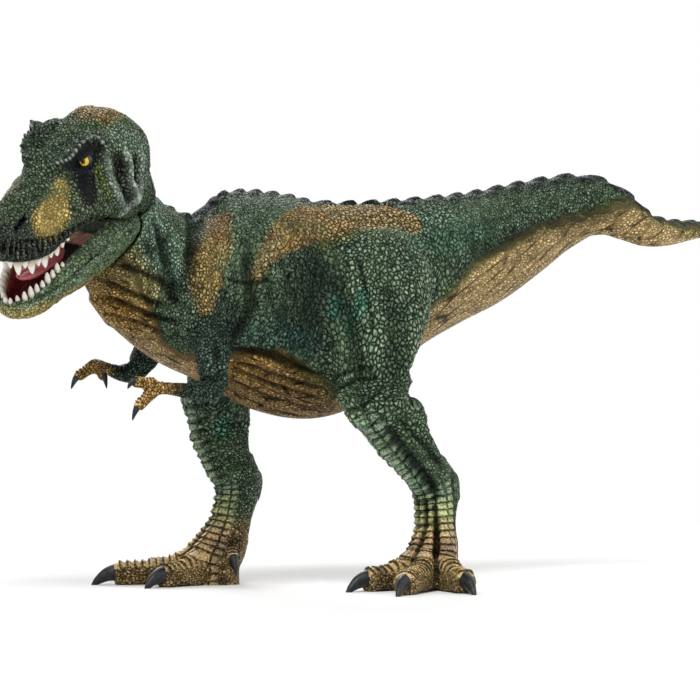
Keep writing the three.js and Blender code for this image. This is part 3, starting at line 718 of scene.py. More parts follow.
jaw_shares = np.array([
    [-0.13, -0.06, 0, 0, 0], [-0.09, -0.06, 0.4, 0.12, 0.15], [0.02, -0.06, 0.49, 0.16, 0.24],
    [0.19, -0.04, 0.48, 0.24, 0.32], [0.38, -0.02, 0.44, 0.2, 0.36],
    [0.53, -0.03, 0.39, 0.14, 0.32], [0.68, -0.09, 0.32, 0.11, 0.24],
    [0.8, -0.11, 0.23, 0.08, 0.17], [0.865, -0.1, 0.14, 0.06, 0.1], [0.89, -0.09, 0, 0, 0],
])
tongue_shares = np.array([
    [0.22, 0, 0, 0, 0], [0.26, 0, 0.13, 0.04, 0.04], [0.45, 0.01, 0.15, 0.05, 0.05],
    [0.62, 0.03, 0.12, 0.045, 0.045], [0.7, 0.06, 0.08, 0.035, 0.035], [0.74, 0.08, 0, 0, 0],
])
boxy = 0.55
head_turn, head_pitch, head_roll = 28.0, 16.5, -12.7
gape = 16.0
swing_shut, swing_wide = -9.0, 4.0
swing_gap, throat_gap = 0.35, 0.5
room_voxel = 0.6
skin_sides, mouth_sides, limb_sides, strand_sides = 96, 64, 48, 32
lip_wall, palate_rise, trough_depth = 3.2, 5.0, 4.5
boss_radius_share, boss_half_width = 0.1625, 9.0
head_sideways = (0, -1, 0)


def turned(axis, degrees):
    """A 3 by 3 rotation about one of the axes."""
    c, s = math.cos(math.radians(degrees)), math.sin(math.radians(degrees))
    if axis == "x":
        return np.array([[1, 0, 0], [0, c, -s], [0, s, c]])
    if axis == "y":
        return np.array([[c, 0, s], [0, 1, 0], [-s, 0, c]])
    return np.array([[c, -s, 0], [s, c, 0], [0, 0, 1]])


head_rotation = turned("z", 180 + head_turn) @ turned("y", head_pitch) @ turned("x", head_roll)


def place_head(points):
    """From the head's own level frame to the carver's frame."""
    return points @ head_rotation.T + hinge


def jaw_turned(points, degrees=gape):
    """The jaw's points as it lies open by an angle, still in the head's own frame."""
    return points @ turned("y", degrees).T


def skull_tube(shares):
    """A tube of the head from its rows of shares: ahead, up, half width, rise and drop."""
    at = np.stack([shares[:, 0] * skull_length, 0 * shares[:, 0], shares[:, 1] * skull_height], 1)
    size = shares[:, 2:] * [skull_width, skull_height, skull_height]
    return Tube(at, size, head_sideways)


def brow_tube(side):
    """The ridge over one eye."""
    at = brow_shares[:, :3] * [skull_length, side * skull_width, skull_height]
    return Tube(at, np.repeat(brow_shares[:, 3:] * skull_height, 3, axis=1), head_sideways)


muzzle_tube = skull_tube(muzzle_shares)
crest_tube = skull_tube(crest_shares)
jaw_tube = skull_tube(jaw_shares)


def round_bar(radius, half_width):
    """A bar across the head at its hinge."""
    at = np.array([[0, -half_width, 0], [0, half_width, 0]], float)
    return Tube(at, np.full((2, 3), radius), (1, 0, 0), samples=4)


def lip_edge(shares, first, upper):
    """The lips' edge from a row of shares on: its places ahead, its heights and the half widths of the
    mouth between the lips' walls."""
    rows = shares[first:-1]
    height = rows[:, 1] - rows[:, 4] if upper else rows[:, 1] + rows[:, 3]
    wall = np.maximum(rows[:, 2] * skull_width - lip_wall, 0.9)
    return rows[:, 0] * skull_length, height * skull_height, wall


def mouth_hollow(shares, first, above, below, upper):
    """The hollow along the middle of the mouth, above the muzzle's lips or below the jaw's."""
    x, edge, wall = lip_edge(shares, first, upper)
    size = np.stack([wall, np.full(len(x), above), np.full(len(x), below)], 1)
    tube = Tube(np.stack([x, 0 * x, edge], 1), size, head_sideways)
    return closed(tube.grid(mouth_sides, (boxy, boxy)))


def jaw_room(grow):
    """The room that the jaw sweeps between its limits, swollen by a gap, in the head's own frame."""
    shells = []
    for degrees in np.linspace(gape + swing_shut, gape + swing_wide, 5):
        points, quads, triangles = closed(jaw_tube.grid(mouth_sides, (boxy, 1.0), grow))
        shells.append((jaw_turned(points, degrees), quads, triangles))
    points, quads = welded(shells, room_voxel)
    return points, quads, np.zeros((0, 3), int)


sweep = jaw_room(throat_gap)
print("room for the jaw:", len(sweep[0]), "points")

# %% [markdown]
# The scales are Voronoi cells: each point of the skin belongs to the nearest of many scattered seeds,
# and the borders between neighbours are the creases. Blender's Voronoi texture draws them sharply in the
# material. The relief of the mesh has to follow the same cells, so the texture's own recipe is written
# out here: each cell of a cubic grid holds one seed, whose place is hashed from the bits of the cell's
# coordinates. Mesh and material then agree to a hundredth of a millimetre.

# %% Voronoi cells as the texture makes them
hash_start = 0xDEADBEEF + 13
final_steps = [(2, 1, 14), (0, 2, 11), (1, 0, 25), (2, 1, 16), (0, 2, 4), (1, 0, 14), (2, 1, 24)]
mix_steps = [(0, 2, 1, 4), (1, 0, 2, 6), (2, 1, 0, 8), (0, 2, 1, 16), (1, 0, 2, 19), (2, 1, 0, 4)]


def rotated(words, bits):
    """The 32 bits of each word turned left."""
    return (words << np.uint32(bits)) | (words >> np.uint32(32 - bits))


def hashed(keys):
    """A number from 0 to 1 for three or four arrays of 32-bit words, by the lookup3 hash: the words are
    subtracted, turned and added in rounds, and the last one is divided by its largest value."""
    start = np.uint32((hash_start + (len(keys) << 2)) & 0xFFFFFFFF)
    words = [key + start for key in keys[:3]]
    if len(keys) == 4:
        for a, b, c, bits in mix_steps:
            words[a] = (words[a] - words[b]) ^ rotated(words[b], bits)
            words[b] = words[b] + words[c]
        words[0] = words[0] + keys[3]
    for a, b, bits in final_steps:
        words[a] = (words[a] ^ words[b]) - rotated(words[b], bits)
    return words[2] / np.float32(0xFFFFFFFF)


def seeds(low, shape):
    """The seed of every cell of a block of the grid, as offsets from the cell's lowest corner."""
    axes = [np.arange(start, start + count).astype(np.float32) for start, count in zip(low, shape)]
    grids = [np.ascontiguousarray(grid).view(np.uint32) for grid in np.meshgrid(*axes, indexing="ij")]
    second, third = (np.full(grids[0].shape, value, np.float32).view(np.uint32) for value in (1.0, 2.0))
    return np.stack([hashed(grids), hashed([*grids, second]), hashed([*grids, third])], -1)


def scales(points, size):
    """How far each point lies from the border of its cell, in millimetres. The border between two seeds is
    the plane half way between them."""
    scaled = points / size
    cell = np.floor(scaled).astype(int)
    low = cell.min(0) - 1
    table = seeds(low, cell.max(0) + 2 - low)
    inside = (scaled - cell).astype(np.float32)
    index = cell - low
    neighbours = [np.array(offset) - 1 for offset in np.ndindex(3, 3, 3)]
    nearest = np.full(len(points), np.inf, np.float32)
    towards = np.zeros((len(points), 3), np.float32)
    for offset in neighbours:
        away = table[tuple((index + offset).T)] + offset.astype(np.float32) - inside
        far = (away**2).sum(1)
        closer = far < nearest
        nearest[closer] = far[closer]
        towards[closer] = away[closer]
    border = np.full(len(points), np.inf, np.float32)
    for offset in neighbours:
        away = table[tuple((index + offset).T)] + offset.astype(np.float32) - inside
        side = away - towards
        length = np.linalg.norm(side, axis=1)
        other = length > 1e-3
        gap = ((towards + away) / 2 * side).sum(1) / np.maximum(length, 1e-6)
        border = np.where(other & (gap < border), gap, border)
    return border * size

# %% [markdown]
# The skin's finish is soft PVC that was sprayed in several colours through stencils, washed with thin
# dark paint that ran into the creases, and dry-brushed so that the tops of the scales caught a pale
# colour. The sprayed colour varies over the whole animal, so it is painted on the points of the mesh, as
# are the places of the fine scales, the wash with its painted shade, and the dry brush. The material
# turns them into sharp scales: it draws the creases at their real width, darkens them with the wash's
# paint and with painted shade, dulls their reflection as painted shade, tints each scale a little
# differently and lightens its top. Long wrinkles are the borders of a second set of cells, drawn out
# along the skin's own folds, and are darkened the same way. Vinyl under matt paint has a roughness
# near 0.5.


# %% Painted vinyl
# How much fuller small scales and plates are drawn than their cells, so that their creases stay thin.
small_swell = plate_swell = 1.4


def painted_vinyl(name, large, small, row, depth):
    """Scale sizes and the pitch of the rows of plates are millimetres; depth is the height of a scale."""
    material, tree = new_material(name)
    smooth = {"interpolation_type": "SMOOTHSTEP"}
    paint = add(tree, "ShaderNodeAttribute", {}, "Color", attribute_name="paint")
    folded = paint.node.outputs["Alpha"]
    labels = ("pattern", "folds", "marks", "rows")
    pattern, folds, marks, rows = (
        add(tree, "ShaderNodeAttribute", {}, "Vector", attribute_name=label) for label in labels
    )
    fine = add(tree, "ShaderNodeSeparateXYZ", {0: marks}, "X")
    dry = fine.node.outputs["Y"]
    wash_and_shade = fine.node.outputs["Z"]
    along = add(tree, "ShaderNodeSeparateXYZ", {0: rows}, "X")
    column = along.node.outputs["Y"]
    plated = along.node.outputs["Z"]

    # Fine grain breaks up every border and every brush mark.
    grain = add(tree, "ShaderNodeTexNoise", {"Vector": pattern, "Scale": 2.2, "Detail": 3.0})
    cloud = add(tree, "ShaderNodeTexNoise", {"Vector": pattern, "Scale": 0.16, "Detail": 3.0})

    # Distance to the border of a scale, in millimetres, for large scales, small ones and plates.
    borders = []
    for size, swell in ((large, 1.0), (small, small_swell)):
        cells = {"Vector": pattern, "Scale": 1 / size}
        gap = add(tree, "ShaderNodeTexVoronoi", cells, "Distance", feature="DISTANCE_TO_EDGE")
        borders.append(add(tree, "ShaderNodeMath", {0: gap, 1: swell * size}, operation="MULTIPLY"))
    tint = add(tree, "ShaderNodeTexVoronoi", {"Vector": pattern, "Scale": 1 / large}, "Color", feature="F1")
    tint = add(tree, "ShaderNodeSeparateColor", {0: tint}, "Red")
    border = add(tree, "ShaderNodeMix", {0: fine, 2: borders[0], 3: borders[1]}, data_type="FLOAT")
    course = add(tree, "ShaderNodeMath", {0: along}, operation="FLOOR")
    brick = add(tree, "ShaderNodeMath", {0: course, 1: 0.5, 2: column}, operation="MULTIPLY_ADD")
    sides = []
    for run, width in ((along, row), (brick, plate_swell * row)):
        side = add(tree, "ShaderNodeMath", {0: run, 1: 0.5}, operation="PINGPONG")
        sides.append(add(tree, "ShaderNodeMath", {0: side, 1: width}, operation="MULTIPLY"))
    plate = add(tree, "ShaderNodeMath", {0: sides[0], 1: sides[1]}, operation="MINIMUM")
    border = add(tree, "ShaderNodeMix", {0: plated, 2: border, 3: plate}, data_type="FLOAT")
    ragged = {"Value": grain, "From Min": 0.3, "From Max": 0.7, "To Min": -0.09, "To Max": 0.09}
    ragged = add(tree, "ShaderNodeMapRange", ragged)
    border = add(tree, "ShaderNodeMath", {0: border, 1: ragged}, operation="ADD")

    face, top = (
        add(tree, "ShaderNodeMapRange", {"Value": border, "From Min": low, "From Max": high}, **smooth)
        for low, high in ((0, 0.25), (0.14, 0.42))
    )

    # Long wrinkles run through the scales, deep in some places and lost in others.
    cells = {"Vector": folds, "Scale": 1 / 3.4}
    fold = add(tree, "ShaderNodeTexVoronoi", cells, "Distance", feature="DISTANCE_TO_EDGE")
    fold = {"Value": fold, "From Min": 0.015, "From Max": 0.13, "To Min": 1, "To Max": 0}
    fold = add(tree, "ShaderNodeMapRange", fold, **smooth)
    patchy = add(tree, "ShaderNodeTexNoise", {"Vector": folds, "Scale": 0.5, "Detail": 2.0})
    patchy = add(tree, "ShaderNodeMapRange", {"Value": patchy, "From Min": 0.36, "From Max": 0.6})
    for share in (patchy, folded):
        fold = add(tree, "ShaderNodeMath", {0: fold, 1: share}, operation="MULTIPLY")

    # Each scale takes the spray a little differently.
    shade = add(tree, "ShaderNodeMapRange", {"Value": tint, "To Min": 0.68, "To Max": 1.32})
    cloudy = {"Value": cloud, "From Min": 0.3, "From Max": 0.7, "To Min": 0.7, "To Max": 1.3}
    cloudy = add(tree, "ShaderNodeMapRange", cloudy)
    shade = add(tree, "ShaderNodeMath", {0: shade, 1: cloudy}, operation="MULTIPLY")
    sprayed = add(tree, "ShaderNodeVectorMath", {0: paint, "Scale": shade}, operation="SCALE")

    # The dry brush leaves pale paint on the tops; the creases and wrinkles are darkened partly by the
    # wash's dark paint and partly by painted shade.
    lighter = {0: paint, 1: (2.5, 2.1, 2.3), 2: (0.165, 0.18, 0.14)}
    pale = add(tree, "ShaderNodeVectorMath", lighter, operation="MULTIPLY_ADD")
    broken = add(tree, "ShaderNodeMapRange", {"Value": grain, "From Min": 0.38, "From Max": 0.6})
    brushed = top
    for share in (broken, dry):
        brushed = add(tree, "ShaderNodeMath", {0: brushed, 1: share}, operation="MULTIPLY")
    coloured = add(tree, "ShaderNodeMix", {0: brushed, 6: sprayed, 7: pale}, 2, data_type="RGBA")
    dark = add(tree, "ShaderNodeVectorMath", {0: paint, "Scale": 0.07}, operation="SCALE")
    washed_and_shaded = add(tree, "ShaderNodeMath", {0: 1.0, 1: face}, operation="SUBTRACT")
    washed_and_shaded = add(tree, "ShaderNodeMath", {0: washed_and_shaded, 1: wash_and_shade}, operation="MULTIPLY")
    washed_and_shaded = add(tree, "ShaderNodeMath", {0: washed_and_shaded, 1: fold}, operation="MAXIMUM")
    coloured = add(tree, "ShaderNodeMix", {0: washed_and_shaded, 6: coloured, 7: dark}, 2, data_type="RGBA")

    # Relief that is finer than the mesh, in millimetres.
    height = {"Value": border, "From Min": 0, "From Max": 0.45, "To Min": 0, "To Max": depth}
    height = add(tree, "ShaderNodeMapRange", height, **smooth)
    for source, share in ((grain, 0.12), (fold, -0.4)):
        height = add(tree, "ShaderNodeMath", {0: source, 1: share, 2: height}, operation="MULTIPLY_ADD")
    bump = add(tree, "ShaderNodeBump", {"Height": height, "Strength": 1.0, "Distance": MM})
    rough = add(tree, "ShaderNodeMapRange", {"Value": face, "To Min": 0.65, "To Max": 0.36})
    # Painted shade as well: the darkened creases and wrinkles reflect less light.
    shine = add(tree, "ShaderNodeMapRange", {"Value": washed_and_shaded, "To Min": 0.22, "To Max": 0.03})
    vinyl = {"Base Color": coloured, "Roughness": rough, "Normal": bump, "IOR": 1.45}
    finish_material(tree, {**vinyl, "Specular IOR Level": shine})
    return material


body_scale, neck_scale = 1.3, 0.85
head_scale, lip_scale = 1.0, 0.7
plate_pitch = 2.2
body_finish = painted_vinyl("painted_vinyl_body", body_scale, neck_scale, plate_pitch, 0.36)
head_finish = painted_vinyl("painted_vinyl_head", head_scale, lip_scale, plate_pitch, 0.26)
print("body scales", body_scale, "and", neck_scale, "mm across, plates every", plate_pitch, "mm")

# %% [markdown]
# The body is welded from its tubes. Voxels of half a millimetre are small enough for the scales, and
# give the larger castings under 200,000 triangles each. The room that the jaw sweeps is cut away first,
# so the throat never touches the jaw. Then the joins at the hips and shoulders are smoothed until the
# limbs run into the trunk, and the soles are pressed flat.

# %% Weld the body
body_voxel = 0.52
join_rounds, join_reach = 180, 0.7
names = list(tubes)
shells = [closed(tubes[name].grid(skin_sides if name == "spine" else limb_sides)) for name in names]
shells += [closed(tube.grid(strand_sides)) for tube in insteps]
body, body_quads = welded(shells, body_voxel, [(place_head(sweep[0]), *sweep[1:])])
body_edges = edges_of(body_quads)
where = {name: tube_coordinates(body, tube) for name, tube in tubes.items()}
ratios = np.stack([where[name][3] for name in names])
spine_ratio = ratios[0]
limb_ratio = ratios[1:].min(0)
near_joint = bell((spine_ratio - 1.0) / join_reach) * bell((limb_ratio - 1.0) / join_reach)
for _ in range(join_rounds):
    drawn = spread(body, body_edges, len(body)) - body
    body = body + (0.5 * near_joint)[:, None] * drawn
body = smoothed(body, body_edges, 4)
body[:, 2] = np.maximum(body[:, 2], 0)
print("body:", len(body), "points", len(body_quads), "quads")

# %% [markdown]
# Muscles and folds are strokes along the skin. A stroke is a smooth line through a few points, a width,
# and a height that is negative for a fold. Most are given by places on a limb: a station of its path and
# an angle round it, counted from its outer side towards its front, so that both legs get the same
# anatomy in their different poses. The rest are places on the left side, ahead, left and up in shares of
# the reach, and are mirrored.


# %% Strokes
def flank(points, side):
    """Places ahead, to the left and up, in shares of the reach, on the left or mirrored to the right."""
    ahead, left, up = (np.array(points) * reach).T
    return np.stack([-ahead, side * left, up], 1)


def on_limb(name, places):
    """Places on a limb's surface: station and degrees from its outer side towards its front."""
    side = side_of[name.split("_")[0]]
    return np.array([tubes[name].at(k, d if side > 0 else 180 - d) for k, d in places])


def carve(points, normals, strokes):
    """The skin after all strokes, each of which moves it along its normal by its height times a bell, and
    how deep each point lies in a fold or high on a muscle."""
    raised = np.zeros(len(points))
    relief = np.zeros(len(points))
    for path, width, height in strokes:
        far, share = line_distance(points, path, width)
        ends = ramp(share, 0, 0.15) * ramp(1 - share, 0, 0.15)
        share_of_height = bell(far / width) * (0.35 + 0.65 * ends)
        raised += height * share_of_height
        relief += height / (0.6 * abs(height) + 0.4) * share_of_height * min(1, 3.5 / width)
    return points + normals * raised[:, None], relief


# %% Muscles and folds of the limbs
leg_strokes = [
    ([(1.2, 75), (2.2, 62), (3, 55), (3.7, 50)], 5, -1.2),
    ([(1.4, 20), (2.4, 10), (3.2, 0), (3.9, -15)], 6, -1),
    ([(1.6, 45), (2.4, 38), (3.2, 32)], 6.5, 0.8),
    ([(1.4, -30), (2.4, -35), (3.2, -40)], 8, 1.1),
    ([(1.9, -52), (2.7, -60), (3.3, -72)], 12, -4.2),
    ([(3.7, 110), (4.1, 90), (4.4, 60)], 5.5, 1.6),
    ([(4.2, -95), (4.4, -60), (4.5, -30)], 3, -1.3),
    ([(4.1, -60), (4.5, -62), (4.9, -66)], 6, 1.2),
    ([(5, -86), (5.7, -88), (6.4, -88)], 9, -3.2),
    ([(5.2, -50), (5.9, -55), (6.4, -60)], 5, -1.2),
    ([(4.4, 34), (5.2, 36), (6.2, 34), (6.9, 22), (7.4, 5)], 2.6, -1.7),
    ([(4.3, 8), (4.9, 0), (5.6, -8), (6.3, -16)], 1.6, -0.8),
    ([(4.8, 85), (5.8, 80), (6.8, 70)], 3.5, 1),
    ([(6.8, -90), (7.2, -88), (7.5, -85)], 4, 1),
    ([(7, 0), (7.5, 5), (7.9, 10)], 4, 0.8),
    ([(6.7, -40), (7.6, -40), (8.4, -50)], 2, -1),
    ([(7.1, 56), (8.2, 55), (9.4, 54)], 1.3, -1.2),
    ([(7.1, 86), (8.2, 84), (9.4, 84)], 1.3, -1.2),
    ([(7.3, 27), (8.6, 26), (9.6, 25)], 1.5, -1.6),
    ([(8.4, -95), (9.2, -90), (9.8, -80)], 5, 1),
]
ankle_folds = [(6.9, 1), (7.25, 1.1), (7.6, 1), (8, 0.9)]
leg_strokes += [([(k, 130), (k + 0.1, 90), (k, 50), (k - 0.1, 15)], w, -0.6) for k, w in ankle_folds]
knee_folds = [(3.4, 1.3), (3.65, 1.2), (3.95, 1.2), (4.35, 1.1), (4.6, 1.1), (4.9, 1), (5.2, 0.9)]
knee_folds += [(5.5, 0.9), (5.8, 0.9), (6.1, 0.9), (6.4, 0.9)]
leg_strokes += [([(k, 140), (k + 0.08, 100), (k, 60), (k - 0.12, 20)], w, -0.6) for k, w in knee_folds]
arm_strokes = [
    ([(1.2, 60), (2, 40), (2.6, 20)], 3, 0.7),
    ([(1.4, -20), (2.2, -30), (2.9, -40)], 3, 0.8),
    ([(1.2, 15), (2, 5), (2.7, -10)], 2, -0.7),
    ([(2.6, 90), (2.9, 60), (3, 20)], 1.2, -0.6),
    ([(3.2, -60), (3.4, -20), (3.4, 20)], 2.2, 0.6),
    ([(3.3, 50), (4, 40), (4.7, 35)], 1.2, -0.35),
    ([(4.3, 90), (4.35, 40), (4.35, -20)], 0.8, -0.3),
    ([(4.8, 90), (4.85, 40), (4.85, -20)], 0.8, -0.3),
]
print("strokes on a leg:", len(leg_strokes), "on an arm:", len(arm_strokes))

# %% Folds of the trunk and the neck
flank_strokes = [
    ([(0.55, 0.06, 1.13), (0.6, 0.14, 1.05), (0.645, 0.185, 0.96), (0.68, 0.185, 0.88)], 4, -2.4),
    ([(0.48, 0.12, 1.1), (0.54, 0.19, 1), (0.58, 0.22, 0.9), (0.58, 0.21, 0.8)], 8, 1.4),
    ([(0.455, 0.2, 1.03), (0.46, 0.24, 0.93), (0.46, 0.25, 0.84), (0.5, 0.23, 0.74)], 3.5, -1.5),
    ([(0.2, 0.2, 1.02), (0.24, 0.24, 0.94), (0.26, 0.25, 0.86), (0.24, 0.25, 0.77)], 7, -1.5),
    ([(0.115, 0.27, 1), (0.118, 0.31, 0.92), (0.11, 0.33, 0.84), (0.1, 0.33, 0.77)], 1.3, -0.9),
    ([(0.53, 0.2, 0.925), (0.45, 0.25, 0.925), (0.4, 0.25, 0.93)], 1.3, -1),
    ([(-0.12, 0.25, 0.93), (-0.2, 0.24, 0.83), (-0.2, 0.2, 0.74)], 4, -1.5),
    ([(0.4, 0.25, 0.97), (0.35, 0.26, 0.88), (0.33, 0.26, 0.78)], 8, 0.7),
    ([(0.43, 0.22, 1), (0.4, 0.25, 0.9), (0.38, 0.26, 0.8)], 1.6, -0.5),
    ([(0.36, 0.22, 1), (0.33, 0.25, 0.9), (0.3, 0.26, 0.8)], 1.6, -0.5),
    ([(0.6, 0.2, 0.71), (0.47, 0.22, 0.7), (0.36, 0.22, 0.7), (0.24, 0.2, 0.65)], 2.5, -1.2),
    ([(0.72, 0.17, 1.07), (0.7, 0.17, 0.97), (0.68, 0.15, 0.88)], 3, -1.4),
    ([(0.66, 0.17, 1.07), (0.655, 0.18, 0.98), (0.66, 0.18, 0.9)], 4, 0.8),
    ([(0.79, 0.12, 1.14), (0.77, 0.15, 1.06), (0.75, 0.16, 0.99)], 2, -0.9),
    ([(0.755, 0.12, 1.14), (0.73, 0.16, 1.05), (0.71, 0.17, 0.97)], 1.6, -0.7),
    ([(-0.3, 0.19, 1), (-0.5, 0.16, 1.06), (-0.7, 0.12, 1.1), (-0.9, 0.07, 1.13)], 5, -0.8),
    ([(0.88, 0.08, 0.93), (0.82, 0.12, 0.9), (0.76, 0.15, 0.87), (0.7, 0.17, 0.85)], 1.8, -1.2),
    ([(0.87, 0.04, 0.89), (0.8, 0.1, 0.86), (0.73, 0.14, 0.82), (0.66, 0.17, 0.8)], 1.8, -1.1),
    ([(0.86, 0.13, 0.98), (0.79, 0.17, 0.95), (0.72, 0.18, 0.92), (0.67, 0.19, 0.85)], 1.8, -1.1),
    ([(0.83, 0.03, 0.84), (0.77, 0.09, 0.81), (0.7, 0.13, 0.77)], 1.6, -0.8),
    ([(0.86, 0.02, 0.9), (0.81, 0.03, 0.845), (0.77, 0.05, 0.81)], 7, 1.3),
]
for up, left in [(0.67, 0.22), (0.63, 0.19), (0.6, 0.165), (0.565, 0.12), (0.54, 0.06)]:
    fold = [(0.5, left, up + 0.03), (0.4, left * 1.05, up + 0.015)]
    fold += [(0.28, left, up - 0.01), (0.17, left, up - 0.05)]
    flank_strokes.append((fold, 1.3, -0.7))
print("strokes on a flank:", len(flank_strokes))

# %% Carve the body
strokes = list(foot_grooves)
for side_name, side in side_of.items():
    for limb, table in (("leg", leg_strokes), ("arm", arm_strokes)):
        strokes += [(on_limb(f"{side_name}_{limb}", places), w, h) for places, w, h in table]
    strokes += [(flank(places, side), w, h) for places, w, h in flank_strokes]
body_normals = normals_of(body, body_quads)
sculpted, relief = carve(body, body_normals, strokes)
sculpted[:, 2] = np.maximum(sculpted[:, 2], 0)
print("strokes on the body:", len(strokes))

# %% [markdown]
# The skin's coverings follow the anatomy: a row of keeled scutes down the middle of the back and a lower
# row on each side of it, rows of broad plates down the shins, feet and fingers, and scales everywhere
# else. The plates are known by two running numbers, one along the limb and one round it, so that the
# material can draw their borders sharply. At the back of a limb, where the numbers jump, the plates fade.

# %% Scutes
scute_pitch, scute_height, scute_half_width = 7.7, 1.5, 2.9
side_scutes = [(-3.6, 0.55), (3.6, 0.55)]
spine_station, spine_length, spine_angle, _ = where["spine"]
spine_half = np.interp(spine_station, tubes["spine"].stations, tubes["spine"].size[:, 0])
beside = np.cos(np.radians(spine_angle)) * spine_half * spine_ratio
on_back = ramp(spine_angle, 35, 60) * ramp(180 - spine_angle, 35, 60) * (limb_ratio > 1.02)
small_end = ramp(spine_station, 1, 5.0) * ramp(21.2 - spine_station, 0, 1.6)
tall = 0.45 + 0.55 * small_end
scutes = np.zeros(len(body))
for middle, share in [(0.0, 1.0), *side_scutes]:
    run = -spine_length / scute_pitch + (0.0 if middle == 0 else 0.5)
    run = run - np.floor(run)
    keel = ramp(run, -0.25, 0.6) * ramp(1 - run, 0, 0.3)
    wide = scute_half_width * tall * (0.75 + 0.35 * np.sin(np.pi * run))
    scutes += share * keel * bell((beside - middle * tall) / wide) * on_back * tall
scutes *= ramp(spine_station, 0.6, 1.6) * ramp(21.0 - spine_station, 0, 0.8)
sculpted += body_normals * (scute_height * scutes)[:, None]
print("points on a scute:", int((scutes > 0.1).sum()))

# %% Rows of plates
run_along = np.zeros(len(body))
run_round = np.full(len(body), 0.5)
plated = np.zeros(len(body))
closest = np.argmin(ratios, axis=0)
for limb, side in side_of.items():
    station, length, angle, _ = where[f"{limb}_leg"]
    outer = angle if side > 0 else (180 - angle + 180) % 360 - 180
    mine = (closest == names.index(f"{limb}_leg")) & (station > 3.6)
    round_leg = 0.5 * np.floor(length / plate_pitch) + (outer - 26.0) / 29.0
    seam_fade = ramp(180 - np.abs(outer), 8, 25)
    foot_share = ramp(station, 6.4, 7.4) * seam_fade * ramp(outer, -60, -20) * ramp(170 - outer, 0, 30)
    shin_share = 0.75 * ramp(station, 3.8, 4.6) * ramp(outer, 20, 45) * ramp(120 - outer, 0, 30)
    weight = np.maximum(foot_share, shin_share * (1 - foot_share))
    run_along = np.where(mine, length / plate_pitch, run_along)
    run_round = np.where(mine, round_leg, run_round)
    plated = np.where(mine, 0.85 * weight, plated)
    for name in names:
        if name.startswith(limb) and ("toe" in name or "spur" in name or "finger" in name):
            _, length, angle, _ = where[name]
            mine = closest == names.index(name)
            pitch_share = 1.0 if "toe" in name else 1.9
            run_along = np.where(mine, length * pitch_share / plate_pitch, run_along)
            run_round = np.where(mine, 0.5 - 0.5 * np.floor(run_along), run_round)
            top_side = ramp(-angle, 25, 60) * ramp(155 + angle, 0, 40)
            plated = np.where(mine, 0.9 * top_side, plated)
fraction = run_along - np.floor(run_along)
overlap = plated * (fraction - 0.4) * 0.95 * ramp(fraction, 0, 0.12) * ramp(1 - fraction, 0, 0.12)
on_toe = np.isin(closest, [i for i, name in enumerate(names) if "toe" in name])
sculpted += body_normals * (overlap * (1 + 0.7 * on_toe))[:, None]

# %% [markdown]
# The scales are small on the neck, the arms and the end of the tail, and large on the flanks and thighs.
# Under the tail they are drawn out along it. Their relief is a low dome on each, higher for large ones.

# %% Scales
ahead, left, up = -body[:, 0] / reach, np.abs(body[:, 1]) / reach, body[:, 2] / reach
is_arm = np.isin(closest, [i for i, name in enumerate(names) if "arm" in name or "finger" in name])
is_leg = (closest > 0) & ~is_arm & (spine_ratio > 1.02)
is_left = body[:, 1] < 0
# Where the tan underside ends on the side of the body: shares of the reach ahead and up.
edge_ahead, edge_up = np.array([
    [-1.4, 1.1], [-1.25, 1.09], [-1.15, 1.09], [-1.05, 1.12], [-0.96, 1.17], [-0.9, 1.175],
    [-0.832, 1.15], [-0.678, 1.111], [-0.521, 1.06], [-0.366, 0.986], [-0.216, 0.869], [-0.1, 0.76],
    [0, 0.66], [0.13, 0.584], [0.242, 0.654], [0.33, 0.705], [0.56, 0.7], [0.609, 0.706],
    [0.703, 0.77], [0.76, 0.88], [0.8, 0.95], [0.86, 1.02], [0.92, 1.05],
]).T
mottle = noise(body, 6.0, 3)
speckle = noise(body, 2.0, 5)
below_edge = np.interp(ahead, edge_ahead, edge_up) - up
under = np.where(is_leg | is_arm, 0, ramp(below_edge / 0.03 + 0.5 * mottle + 0.3 * speckle, -0.5, 0.5))

fine = 0.6 * ramp(ahead, 0.1, 0.3) + 0.4 * ramp(ahead, 0.5, 0.62)
fine = np.maximum(fine, ramp(-ahead, 0.2, 0.5))
fine = np.where(is_arm, 1.0, fine)
fine = np.where(is_leg & (up < 0.5), 0.85 * ramp(0.5 - up, 0, 0.12), fine)
fine = np.maximum(fine, under)


def drawn_out(points, along, share):
    """Coordinates that run slower along a direction, so that cells made from them are long that way."""
    along = unit(np.array(along, float))
    return points - share * (points @ along)[:, None] * along


belly = under * ramp(ahead, 0, 0.1)
under_tail = under * ramp(-ahead, -0.1, 0)
neck = ramp(ahead, 0.62, 0.72) * (1 - belly) * ~is_arm
trunk_share = (1 - belly - under_tail)[:, None]
fold_run = trunk_share * drawn_out(body, (0.1, 0, 1), 0.8)
fold_run += belly[:, None] * drawn_out(body, (1, 0, -0.12), 0.74)
fold_run[:, 2] += 1.6 * belly * noise(body, 9.0, 33)
fold_run += under_tail[:, None] * drawn_out(body, (0.8, 0, 0.6), 0.85)
ringed = body * [0.22, 0.22, 1.0]
low_leg = (is_leg * ramp(0.66 - up, 0, 0.12))[:, None]
fold_run = (1 - low_leg) * fold_run + low_leg * ringed
fold_share = 0.6 + 0.4 * belly + 0.35 * under_tail + 0.3 * neck
fold_share = np.where(is_arm, 0.5, fold_share) * (1 - plated)

flat = drawn_out(body, (0.05, 0, 1), 0.26)
tail_run = drawn_out(body, (0.94, 0, 0.34), 0.4)
weight = under[:, None]
pattern = (1 - weight) * flat + weight * tail_run
pattern = (1 - low_leg) * pattern + low_leg * (body * [0.8, 0.8, 1.0])
pattern[:, 2] += 0.3 * np.sin(body[:, 0] / 3.1)
large_border = scales(pattern, body_scale)
dome = (1 - fine) * 0.42 * (ramp(large_border, 0, 0.55) - 0.6)
bare = 1 - np.clip(plated + 1.5 * scutes, 0, 1)
sculpted += body_normals * (dome * bare)[:, None]
sculpted[:, 2] = np.maximum(sculpted[:, 2], 0)
